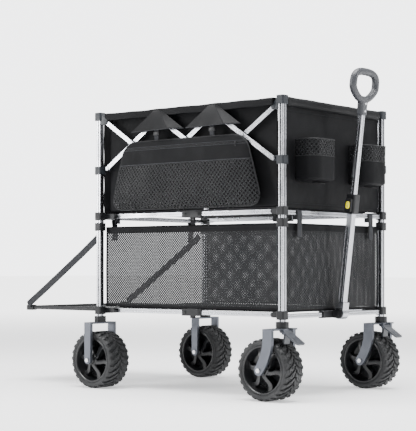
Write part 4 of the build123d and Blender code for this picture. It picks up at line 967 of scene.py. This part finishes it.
for number, middle_x in enumerate((-UPPER_JOINT_X, UPPER_JOINT_X)):
    route = [(middle_x, -OUTER_LINK_Y - 3 * MM, LINK_TOP + 4 * MM),
             (middle_x, -OUTER_LINK_Y - 6 * MM, bag_high.z + 22 * MM),
             (middle_x, -OUTER_LINK_Y - 4 * MM, bag_high.z - 8 * MM)]
    fold_with_sides(webbing_strip(f"bag_tab_{number}", "front_frame", route, (1, 0, 0), 19 * MM))
    buckle = bmesh.new()
    shape = Matrix.Diagonal((26 * MM, 5 * MM, 13 * MM, 1.0))
    place = Matrix.Translation((middle_x + 2 * MM, -OUTER_LINK_Y - 8 * MM, bag_high.z + 24 * MM))
    bmesh.ops.create_cube(buckle, size=1.0, matrix=place @ shape)
    bmesh.ops.bevel(buckle, geom=buckle.edges[:], offset=1.4 * MM, segments=2, profile=0.5, affect="EDGES", material=-1)
    fold_with_sides(keep_piece(buckle, f"bag_buckle_{number}", "front_frame", "fitting_plastic", fitting_plastic))


def foot_ring(number, middle_x):
    """D-shaped plastic ring under the bag, with the loop of tape that holds it."""
    top = bag_low.z + 3 * MM
    y = BAG_BACK - 6 * MM
    route = []
    for step in range(24):
        turn = 2 * math.pi * step / 24
        x = 11 * MM * math.copysign(abs(math.cos(turn)) ** 0.6, math.cos(turn))
        z = 8.5 * MM * math.copysign(abs(math.sin(turn)) ** 0.6, math.sin(turn))
        route.append((middle_x + x, y, top - 8 * MM + z))
    ring = beading(route, 1.8 * MM, closed=True)
    fold_with_sides(keep_piece(ring, f"bag_ring_{number}", "front_frame", "fitting_plastic", fitting_plastic))
    loop = [(middle_x, y, top + 6 * MM), (middle_x, y - 2.5 * MM, top), (middle_x, y, top - 3 * MM)]
    fold_with_sides(webbing_strip(f"bag_ring_tape_{number}", "front_frame", loop, (1, 0, 0), 15 * MM,
                                  material=binding_cloth))


RING_PITCH = 215 * MM
for number in range(3):
    foot_ring(number, (number - 1) * RING_PITCH - 8 * MM)

# %% Straps that hang the basket
mesh_low, mesh_high = corners("front_lower_mesh")
UPPER_RAIL_TOP = corners("upper_front_rails")[1].z - 4 * MM
UPPER_RAIL_LOW = UPPER_RAIL_TOP - 15 * MM
HANGING_TAB = 44 * MM
BASKET_TOP = mesh_high.z - HANGING_TAB
STRAP_Y = 215 * MM
STRAP_END = 530 * MM

for end, sign in (("front", 1), ("rear", -1)):
    for hand, side in (("left", 1), ("right", -1)):
        near = sign * (FRONT_X + 8.2 * MM)
        far = sign * (FRONT_X - 8.2 * MM)
        middle = side * STRAP_Y
        route = [(far, middle, UPPER_RAIL_LOW - 14 * MM), (far, middle, UPPER_RAIL_TOP + 1 * MM),
                 (sign * FRONT_X, middle, UPPER_RAIL_TOP + 2.6 * MM), (near, middle, UPPER_RAIL_TOP + 1 * MM),
                 (near + sign * 0.6 * MM, middle + 1.5 * MM, UPPER_RAIL_LOW - 8 * MM),
                 (near - sign * 1.2 * MM, middle + 4 * MM, UPPER_RAIL_LOW - 34 * MM),
                 (near - sign * 1.0 * MM, middle + 2 * MM, STRAP_END)]
        webbing_strip(f"hang_strap_{end}_{hand}", f"{end}_frame", route, (0, 1, 0), 25 * MM)
        dark_edge = [(x, y - 13.5 * MM, z) for x, y, z in route[3:]]
        keep_piece(beading(dark_edge, 1.3 * MM), f"hang_strap_edge_{end}_{hand}", f"{end}_frame", "webbing",
                   binding_cloth)
print("straps hung")

# %% [markdown]
# ## The lower basket
# Three see-through mesh sheets, at the front and on both long sides, with solid hems. The front one
# shows soft upright folds, since the basket hangs from its corners and is a little too wide for the frame.

# %% Basket meshes
HEM_BAND = 22 * MM
FOOT_BAND = 12 * MM


def basket_sheet(name, body, wide, low_z, top_z, lay):
    """A mesh sheet with solid cloth along its edges; lay(along, z) gives the place."""
    height = top_z - low_z
    columns = max(20, int(wide / 0.008))
    rows = max(16, int(height / 0.008))
    bm = shaped_grid(columns, rows, (wide, height), lambda u, v: lay((-0.5 + u) * wide, low_z + v * height))
    layer = bm.loops.layers.uv.active
    for face in bm.faces:
        across = sum(loop[layer].uv.x for loop in face.loops) / len(face.loops)
        up = sum(loop[layer].uv.y for loop in face.loops) / len(face.loops)
        inside = FOOT_BAND < across < wide - FOOT_BAND and FOOT_BAND < up < height - HEM_BAND
        face.material_index = 1 if inside else 0
    sheet = keep_piece(bm, name, body, "basket_mesh", tub_cloth, basket_knit)
    thicken(sheet, 1.2 * MM)
    return sheet


def front_lay(along, z):
    drape = math.sin(math.pi * (z - mesh_low.z) / (BASKET_TOP - mesh_low.z))
    folds = 3.5 * MM * math.sin(along * 95) * max(0.0, (along + 0.05) / 0.33) ** 1.5
    belly = 4 * MM * math.cos(along / PANEL_HALF * math.pi / 2)
    return Vector((FRONT_X - 4.5 * MM + (folds + belly) * drape * 0.6, along, z))


front_mesh = basket_sheet("basket_front", "front_frame", 2 * PANEL_HALF, mesh_low.z, BASKET_TOP, front_lay)
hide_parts("front_lower_mesh")

sides_low, sides_high = corners("lower_side_meshes")


def side_lay(sign):
    def lay(along, z):
        drape = math.sin(math.pi * (z - sides_low.z) / (sides_high.z - sides_low.z))
        soft = wrinkle((along, z, sign * 2), 0.12, 3.5 * MM)
        return Vector((along, sign * (sides_high.y - 0.7 * MM + soft * drape * 0.5), z))

    return lay


for hand, sign in (("left", 1), ("right", -1)):
    side = basket_sheet(f"basket_side_{hand}", "front_frame", sides_high.x - sides_low.x, sides_low.z, sides_high.z,
                        side_lay(sign))
    fold_with_sides(side)
    if hand == "left":
        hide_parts("lower_side_meshes")
print("basket from", round(sides_low.z, 3), "to", round(sides_high.z, 3))

# %% [markdown]
# ## Deck boards
# Each deck is two padded boards, one on each half of the folding rails. A padded board is a thin
# cushion: flat below, slightly crowned above, with a bound edge and two sewn lines across it.

# %% Padded deck boards
BOARD_CROWN = 3.5 * MM


def deck_board(deck, end):
    """Padded board on one half of a deck."""
    low, high = corners(f"{deck}_{end}_board")
    centre = (low + high) / 2
    half_x = (high.x - low.x) / 2 - 0.5 * MM
    half_y = (high.y - low.y) / 2 - 18.5 * MM
    bm = bmesh.new()
    bmesh.ops.create_grid(bm, x_segments=60, y_segments=72, size=1.0)
    bmesh.ops.solidify(bm, geom=bm.faces[:], thickness=1.0)
    for vertex in bm.verts:
        across, along = vertex.co.x, vertex.co.y
        rim = (1 - abs(across) ** 10) * (1 - abs(along) ** 10)
        if vertex.co.z < -0.5 or vertex.co.z > 0.5:
            z = low.z + 0.3 * MM
        else:
            channel = min(abs(abs(along) - 0.5), 1.0) / 0.03
            sewn = 1 - 0.75 * math.exp(-channel * channel)
            z = low.z + 2.5 * MM + (high.z - low.z - 2.5 * MM + BOARD_CROWN * sewn) * rim**0.5
        vertex.co = Vector((centre.x + across * half_x, centre.y + along * half_y, z))
    bmesh.ops.recalc_face_normals(bm, faces=bm.faces)
    board = keep_piece(bm, f"{deck}_{end}_pad", f"{deck}_{end}_rails", "board_fabric", board_cloth)
    stuff(board, 5 * MM, 1.5 * MM, pressure=2.0)
    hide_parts(f"{deck}_{end}_board")
    return board


for deck in ("upper", "lower"):
    for end in ("front", "rear"):
        board = deck_board(deck, end)
print("boards", len(board.data.vertices), "vertices each")

# %% [markdown]
# ## Tyres
# A tyre is a spun carcass with tread blocks laid on it. The tread is directional: pairs of slanted
# blocks meet near the middle like a row of arrows, and shoulder blocks wrap over the edge. One
# block is modelled once and bent round the wheel by a function.

# %% Tyre
tyre_low, tyre_high = corners("rear_tyre_left")
WHEEL_RADIUS = (tyre_high.z - tyre_low.z) / 2
TYRE_HALF = (tyre_high.y - tyre_low.y) / 2
TREAD_DEPTH = 5.5 * MM
PITCHES = 26


def carcass():
    """Half of the tyre's section, spun full circle and mirrored."""
    section = [
        (-TYRE_HALF * 0.86, 0.757), (-TYRE_HALF * 0.93, 0.775), (-TYRE_HALF * 0.955, 0.80), (-TYRE_HALF * 0.94, 0.812),
        (-TYRE_HALF * 0.985, 0.84), (-TYRE_HALF, 0.875), (-TYRE_HALF * 0.985, 0.905), (-TYRE_HALF * 0.93, 0.93),
        (-TYRE_HALF * 0.80, 0.943), (-TYRE_HALF * 0.5, 0.948), (0.0, 0.950),
    ]
    outline = section + [(-y, radius) for y, radius in reversed(section[:-1])]
    bm = bmesh.new()
    ring = [bm.verts.new((0.0, y, radius * WHEEL_RADIUS)) for y, radius in outline]
    edges = [bm.edges.new(pair) for pair in zip(ring, ring[1:])] + [bm.edges.new((ring[-1], ring[0]))]
    bmesh.ops.spin(bm, geom=ring + edges, cent=(0, 0, 0), axis=(0, 1, 0), angle=2 * math.pi, steps=96, use_merge=True)
    bmesh.ops.recalc_face_normals(bm, faces=bm.faces)
    return bm


def tread_block(inner, outer, length, slant, start):
    """One bevelled block between two distances from the middle, slanted by an angle."""
    bm = bmesh.new()
    bmesh.ops.create_cube(bm, size=1.0)
    bmesh.ops.subdivide_edges(bm, edges=[e for e in bm.edges if abs(e.verts[0].co.y - e.verts[1].co.y) > 0.5], cuts=3)
    bmesh.ops.bevel(bm, geom=[e for e in bm.edges if all(v.co.z > 0.4 for v in e.verts) and e.is_manifold
                              and e.calc_face_angle(0) > 1],
                    offset=0.09, segments=2, profile=0.5, affect="EDGES", material=-1)
    for vertex in bm.verts:
        share = vertex.co.y + 0.5
        y = inner + (outer - inner) * share
        angle = start + slant * share + (vertex.co.x * length * (1 - 0.15 * share)) / WHEEL_RADIUS
        over = max(0.0, (y / TYRE_HALF - 0.72) / 0.28)
        top = WHEEL_RADIUS * (1 - 0.055 * over**2)
        radius = top - (0.5 - vertex.co.z) * (TREAD_DEPTH + 2 * MM)
        vertex.co = Vector((radius * math.sin(angle), y, radius * math.cos(angle)))
    return bm


def tyre_mesh():
    """Carcass with both hands of every tread block, all about the origin."""
    bm = carcass()
    step = 2 * math.pi / PITCHES
    for number in range(PITCHES):
        start = number * step
        for inner, outer, length, slant, lead in (
            (0.5 * MM, 17 * MM, 9.5 * MM, 0.13, 0.0), (19 * MM, 34 * MM, 11 * MM, 0.10, 0.14),
            (36 * MM, 47.8 * MM, 13 * MM, 0.02, 0.25), (8 * MM, 24 * MM, 6.5 * MM, 0.12, 0.125),
        ):
            block = tread_block(inner, outer, length, slant, start + lead)
            merge_into(bm, block)
            twin = tread_block(inner, outer, length, slant, start + lead + step / 2)
            bmesh.ops.mirror(twin, geom=twin.verts[:] + twin.edges[:] + twin.faces[:], axis="Y", merge_dist=-1)
            bmesh.ops.delete(twin, geom=[f for f in twin.faces if f.calc_center_median().y > 0], context="FACES")
            merge_into(bm, twin)
    bmesh.ops.recalc_face_normals(bm, faces=bm.faces)
    return bm


# %% [markdown]
# ## Wheel centres
# The wheel centre is a deep black dish inside a thin rim. Six curved spokes run from the hub to
# the rim, with rounded edges that catch the light, and a cap covers the hub.

# %% Wheel centre
RIM_OUT = 0.785 * WHEEL_RADIUS
SPOKES = 6


def spun(outline, steps=72):
    """A closed outline of (y, radius) points turned once round the axle."""
    bm = bmesh.new()
    ring = [bm.verts.new((0.0, y, radius)) for y, radius in outline]
    edges = [bm.edges.new(pair) for pair in zip(ring, ring[1:] + ring[:1])]
    bmesh.ops.spin(bm, geom=ring + edges, cent=(0, 0, 0), axis=(0, 1, 0), angle=2 * math.pi, steps=steps,
                   use_merge=True)
    bmesh.ops.remove_doubles(bm, verts=bm.verts, dist=0.00002)
    bmesh.ops.recalc_face_normals(bm, faces=bm.faces)
    return bm


def dished_rim():
    """Rim lips on both faces, with a thin web between them."""
    lip = TYRE_HALF * 0.93
    side = [
        (-lip, RIM_OUT), (-lip - 2 * MM, RIM_OUT - 2 * MM), (-lip - 2 * MM, RIM_OUT - 5 * MM), (-lip, RIM_OUT - 7 * MM),
        (-lip + 4 * MM, RIM_OUT - 8 * MM), (-0.30 * lip, RIM_OUT - 13 * MM), (-0.2 * lip, RIM_OUT - 18 * MM),
        (-5 * MM, 26 * MM), (-7 * MM, 7 * MM),
    ]
    return spun(side + [(-y, radius) for y, radius in reversed(side)])


def hub_barrel():
    """Stepped barrel that fills the middle, with a soft cap edge."""
    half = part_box("rear_hub_left")[1][1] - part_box("rear_hub_left")[0][1]
    half = half / 2
    side = [(-half, 6 * MM), (-half, 12 * MM), (-half + 2 * MM, 14.5 * MM), (-half + 9 * MM, 15.5 * MM),
            (-half + 11 * MM, 19 * MM), (-half + 14 * MM, 20.5 * MM), (-12 * MM, 22 * MM)]
    return spun(side + [(-y, radius) for y, radius in reversed(side)], 48)


def curved_spoke(number, face):
    """A spoke on one face of the wheel: wide at the rim, bent sideways, rounded along its top."""
    bm = bmesh.new()
    bmesh.ops.create_grid(bm, x_segments=8, y_segments=14, size=0.5)
    turn = 2 * math.pi * number / SPOKES
    for vertex in bm.verts:
        across, share = vertex.co.x * 2, vertex.co.y + 0.5
        radius = 17 * MM + (RIM_OUT - 9 * MM - 17 * MM) * share
        width = (7.5 + 4.5 * share**2 + 3 * (1 - share) ** 2) * MM
        sweep = 0.42 * math.sin(math.pi * share * 0.8)
        angle = turn + face * sweep + across * width / radius
        height = 34 * MM - 5 * MM * share + 6 * MM * (1 - share) ** 2
        crown = height * (1 - 0.10 * across**6) - (24 * MM if abs(across) > 0.99 else 0.0)
        vertex.co = Vector((radius * math.sin(angle), face * crown, radius * math.cos(angle)))
    return bm


def wheel_centre():
    bm = dished_rim()
    merge_into(bm, hub_barrel())
    for face in (-1, 1):
        for number in range(SPOKES):
            merge_into(bm, curved_spoke(number, face))
    bmesh.ops.recalc_face_normals(bm, faces=bm.faces)
    return bm


# %% Put the four wheels together
tyre_source = tyre_mesh()
centre_source = wheel_centre()


def placed_copy(source, place):
    copy = source.copy()
    bmesh.ops.transform(copy, matrix=Matrix.Translation(place), verts=copy.verts)
    return copy


for end in ("front", "rear"):
    for hand in ("left", "right"):
        low, high = corners(f"{end}_tyre_{hand}")
        axle = (low + high) / 2
        tyre = keep_piece(placed_copy(tyre_source, axle), f"{end}_tread_{hand}", f"{end}_wheel_{hand}",
                          "tyre_rubber", tyre_rubber)
        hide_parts(f"{end}_tyre_{hand}")
        centre = keep_piece(placed_copy(centre_source, axle), f"{end}_centre_{hand}", f"{end}_wheel_{hand}",
                            "wheel_plastic", wheel_plastic)
        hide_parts(f"{end}_hub_{hand}")
        for piece in (tyre, centre):
            crisp = piece.modifiers.new("crisp", "EDGE_SPLIT")
            crisp.split_angle = math.radians(38)
print("tyre", len(tyre.data.polygons), "faces, centre", len(centre.data.polygons), "faces")
tyre_source.free()
centre_source.free()

# %% [markdown]
# ## Pull grip
# The grip is one D-shaped moulding. It is modelled in the handle's own frame, as a rounded bar
# bent round a closed path, with finger grooves under the top bar, and then leaned with the shaft.

# %% Pull grip
handle_axis = Vector(next(j for j in frame["joints"] if j["name"] == "handle_telescope")["axis"]).normalized()
handle_foot = pivot["handle_swing"]
LEAN = math.atan2(handle_axis.x, handle_axis.z)
HANDLE_FRAME = Matrix.Translation(handle_foot) @ Matrix.Rotation(LEAN, 4, "Y")
GRIP_TOP = 824 * MM
GRIP_HALF = 80 * MM
GRIP_NECK = 668 * MM


def grip_outline(turn):
    """Centre line of the D, as (y, z) in the handle's frame: a flat top and a tapering foot."""
    c, s = math.cos(turn), math.sin(turn)
    middle = GRIP_TOP - 62 * MM
    y = (GRIP_HALF - 12.5 * MM) * math.copysign(abs(c) ** 0.72, c)
    if s > 0:
        return y, middle + (62 - 13) * MM * abs(s) ** 0.5
    taper = 1 - 0.42 * abs(s) ** 1.3
    return y * taper, middle - 44 * MM * abs(s) ** 0.9


def grip_loop():
    """The ring of the grip."""
    steps, sides = 120, 20

    def place(u, v):
        turn = 2 * math.pi * v
        y, z = grip_outline(turn)
        y2, z2 = grip_outline(turn + 0.01)
        forward = Vector((0, y2 - y, z2 - z)).normalized()
        out = Vector((0, forward.z, -forward.y))
        top = max(0.0, math.sin(turn))
        deep = (13.5 - 1.5 * top) * MM
        thick = (11.5 + 1.5 * top) * MM
        around = 2 * math.pi * u
        inward = math.cos(around) * thick
        if inward < 0 and top > 0.7:
            inward *= 1 - 0.16 * (0.5 + 0.5 * math.cos(y / (11 * MM) * math.pi))
        soft = Vector((math.sin(around) * deep, 0, 0)) + out * inward
        return Vector((0, y, z)) + soft

    return shaped_grid(sides, steps, (0.08, 0.5), place, weld=True)


def grip_neck():
    """The neck that takes the shaft: an oval that narrows upwards into the ring."""

    def place(u, v):
        around = 2 * math.pi * u
        half_y = (17 + 5 * v**2) * MM
        half_x = (14 - 0.5 * v) * MM
        z = GRIP_NECK + v * 62 * MM
        y = half_y * math.copysign(abs(math.cos(around)) ** 0.7, math.cos(around))
        x = half_x * math.copysign(abs(math.sin(around)) ** 0.7, math.sin(around))
        return Vector((x, y, z))

    bm = shaped_grid(40, 20, (0.1, 0.06), place, weld=True)
    ends = [e for e in bm.edges if e.is_boundary]
    bmesh.ops.holes_fill(bm, edges=ends)
    return bm


ring = grip_loop()
merge_into(ring, grip_neck())
bmesh.ops.transform(ring, matrix=HANDLE_FRAME, verts=ring.verts)
grip = keep_piece(ring, "pull_grip", "handle_top", "grip_plastic", grip_plastic)
join = grip.modifiers.new("one_moulding", "REMESH")
join.mode = "VOXEL"
join.voxel_size = 1.6 * MM
bpy.context.view_layer.update()
moulded = bpy.data.meshes.new_from_object(grip.evaluated_get(bpy.context.evaluated_depsgraph_get()))
grip.modifiers.clear()
grip.data = moulded
relax = grip.modifiers.new("relax", "SMOOTH")
relax.factor = 0.5
relax.iterations = 8
moulded.polygons.foreach_set("use_smooth", [True] * len(moulded.polygons))
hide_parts("handle_grip")
print("grip", len(moulded.polygons), "faces")

# %% Screws in the neck
for number, rise in enumerate((14 * MM, 38 * MM)):
    screw = bmesh.new()
    for depth, radius in ((0.8 * MM, 4.4 * MM), (1.6 * MM, 3.0 * MM)):
        head = Matrix.Translation((13.6 * MM, 0, GRIP_NECK + rise)) @ Matrix.Rotation(math.pi / 2, 4, "Y")
        place = HANDLE_FRAME @ head
        bmesh.ops.create_cone(screw, cap_ends=True, segments=24, radius1=radius, radius2=radius * 0.9, depth=depth * 2,
                              matrix=place)
    keep_piece(screw, f"grip_screw_{number}", "handle_top", "rivet_steel", rivet_metal, smooth=False)

# %% [markdown]
# ## Tailgate
# The let-down tailgate is a cloth panel with a mesh window, hemmed over its end bar. Two straps
# hold it level. Each strap is fixed in place and rides on neither the rear frame nor the tailgate.

# %% Tailgate cloth and straps
gate_low, gate_high = corners("tailgate_panel")
GATE_Z = (gate_low.z + gate_high.z) / 2
gate_wide = gate_high.y - gate_low.y
gate_long = gate_high.x - gate_low.x


def gate_lay(u, v):
    x = gate_low.x + u * gate_long
    y = gate_low.y + v * gate_wide
    sag = 5 * MM * math.sin(math.pi * u) * math.sin(math.pi * v) + wrinkle((x, y, 0.7), 0.09, 2 * MM)
    return Vector((x, y, GATE_Z - sag * 0.6))


bm = shaped_grid(48, 64, (gate_long, gate_wide), gate_lay)
layer = bm.loops.layers.uv.active
GATE_BORDER = 45 * MM
for face in bm.faces:
    middle = face.calc_center_median()
    open_part = (gate_low.x + GATE_BORDER < middle.x < gate_high.x - GATE_BORDER
                 and gate_low.y + GATE_BORDER < middle.y < gate_high.y - GATE_BORDER)
    face.material_index = 1 if open_part else 0
gate = keep_piece(bm, "tailgate_cloth", "tailgate", "tub_fabric", tub_cloth, basket_knit)
thicken(gate, 1.4 * MM)
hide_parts("tailgate_panel")

STRAPS_LOW, STRAPS_HIGH = corners("tailgate_straps")
for hand, sign in (("left", 1), ("right", -1)):
    y = sign * (STRAPS_HIGH.y - 1 * MM)
    top = Vector((STRAPS_HIGH.x - 4 * MM, y, STRAPS_HIGH.z - 12 * MM))
    low = Vector((STRAPS_LOW.x + 8 * MM, y, STRAPS_LOW.z + 10 * MM))
    middle = top.lerp(low, 0.5) - Vector((0, 0, 3 * MM))
    route = [top + Vector((3 * MM, 0, 4 * MM)), top, top.lerp(middle, 0.5) - Vector((0, 0, 1.6 * MM)), middle,
             middle.lerp(low, 0.5) - Vector((0, 0, 1.2 * MM)), low, low + Vector((-3 * MM, 0, -5 * MM))]
    slope = (top - low).normalized()
    strap = webbing_strip(f"gate_strap_{hand}", None, route, slope.cross(Vector((0, 1, 0))), 25 * MM)
    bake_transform(strap)
    if hand == "left":
        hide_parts("tailgate_straps")
print("tailgate", round(gate_long, 3), "long")

# %% [markdown]
# ## Camera and light
# The camera stands low, at hub height of the upper deck's floor, and looks level, so upright posts
# stay upright. Light is soft and comes from above and both sides, because bare metal only shows
# its shape by what it mirrors.

# %% Camera
camera_data = bpy.data.cameras.new("camera")
camera_data.lens = 112.26
camera_data.sensor_width = 36.0
camera_data.shift_y = 0.117
camera = bpy.data.objects.new("camera", camera_data)
camera.location = (2.950, -3.798, 0.437)
camera.rotation_euler = Vector((-0.632, 0.775, 0.0)).to_track_quat("-Z", "Y").to_euler()
scene.collection.objects.link(camera)
scene.camera = camera

# %% Floor, world and lamps
floor = bmesh.new()
bmesh.ops.create_grid(floor, x_segments=1, y_segments=1, size=40.0)
floor_mesh = bpy.data.meshes.new("studio_floor")
floor.to_mesh(floor_mesh)
floor.free()
studio_floor = bpy.data.objects.new("studio_floor", floor_mesh)
scene.collection.objects.link(studio_floor)
floor_paint = new_finish("studio_floor", (0.93, 0.93, 0.935), 0.7)
vary(floor_paint, "Roughness", 3.0, 0.62, 0.75)
shader_of(floor_paint).inputs["Emission Color"].default_value = (1.0, 1.0, 1.0, 1.0)
distance = add_node(floor_paint, "ShaderNodeVectorMath")
distance.operation = "LENGTH"
wire(floor_paint, add_node(floor_paint, "ShaderNodeTexCoord").outputs["Object"], distance.inputs[0])
glow = add_node(floor_paint, "ShaderNodeMapRange")
glow.interpolation_type = "SMOOTHSTEP"
GLOW_START, GLOW_END = 2.2, 9.0
NEAR_GLOW, FAR_GLOW = 0.6, 2.9
for name, value in (("From Min", GLOW_START), ("From Max", GLOW_END), ("To Min", NEAR_GLOW), ("To Max", FAR_GLOW)):
    glow.inputs[name].default_value = value
wire(floor_paint, distance.outputs["Value"], glow.inputs["Value"])
wire(floor_paint, glow.outputs["Result"], shader_of(floor_paint).inputs["Emission Strength"])
floor_mesh.materials.append(floor_paint)

world = bpy.data.worlds.new("studio")
scene.world = world
world.use_nodes = True
backdrop = world.node_tree.nodes["Background"]
backdrop.inputs["Strength"].default_value = 1.0
facing = world.node_tree.nodes.new("ShaderNodeNewGeometry")
toward = world.node_tree.nodes.new("ShaderNodeVectorMath")
toward.operation = "DOT_PRODUCT"
toward.inputs[1].default_value = (0.632, -0.775, 0.0)
shade = world.node_tree.nodes.new("ShaderNodeValToRGB")
shade.color_ramp.elements[0].position = 0.2
shade.color_ramp.elements[0].color = (0.16, 0.165, 0.18, 1.0)
shade.color_ramp.elements[1].position = 0.75
shade.color_ramp.elements[1].color = (1.25, 1.26, 1.28, 1.0)
spread = world.node_tree.nodes.new("ShaderNodeMapRange")
spread.inputs["From Min"].default_value = -1.0
spread.inputs["From Max"].default_value = 1.0
world.node_tree.links.new(facing.outputs["Incoming"], toward.inputs[0])
world.node_tree.links.new(toward.outputs["Value"], spread.inputs["Value"])
world.node_tree.links.new(spread.outputs["Result"], shade.inputs["Fac"])
world.node_tree.links.new(shade.outputs["Color"], backdrop.inputs["Color"])
path = world.node_tree.nodes.new("ShaderNodeLightPath")
lift = world.node_tree.nodes.new("ShaderNodeMapRange")
lift.inputs["To Min"].default_value = 1.0
lift.inputs["To Max"].default_value = 3.4
world.node_tree.links.new(path.outputs["Is Camera Ray"], lift.inputs["Value"])
world.node_tree.links.new(lift.outputs["Result"], backdrop.inputs["Strength"])


def soft_lamp(name, place, aim, size, power, colour=(1.0, 1.0, 1.0)):
    """A square of soft light that looks at a point."""
    lamp = bpy.data.lights.new(name, "AREA")
    lamp.shape = "RECTANGLE"
    lamp.size, lamp.size_y = size
    lamp.energy = power
    lamp.color = colour
    holder = bpy.data.objects.new(name, lamp)
    holder.location = place
    holder.rotation_euler = (Vector(aim) - Vector(place)).to_track_quat("-Z", "Y").to_euler()
    scene.collection.objects.link(holder)


soft_lamp("overhead", (0.4, -0.6, 3.4), (0, 0, 0.4), (3.2, 2.4), 330)
soft_lamp("front_strip", (3.4, 1.4, 1.6), (0, 0, 0.6), (0.7, 2.8), 60)
soft_lamp("side_strip", (-3.0, -3.2, 1.9), (0, 0, 0.6), (0.7, 2.8), 130)
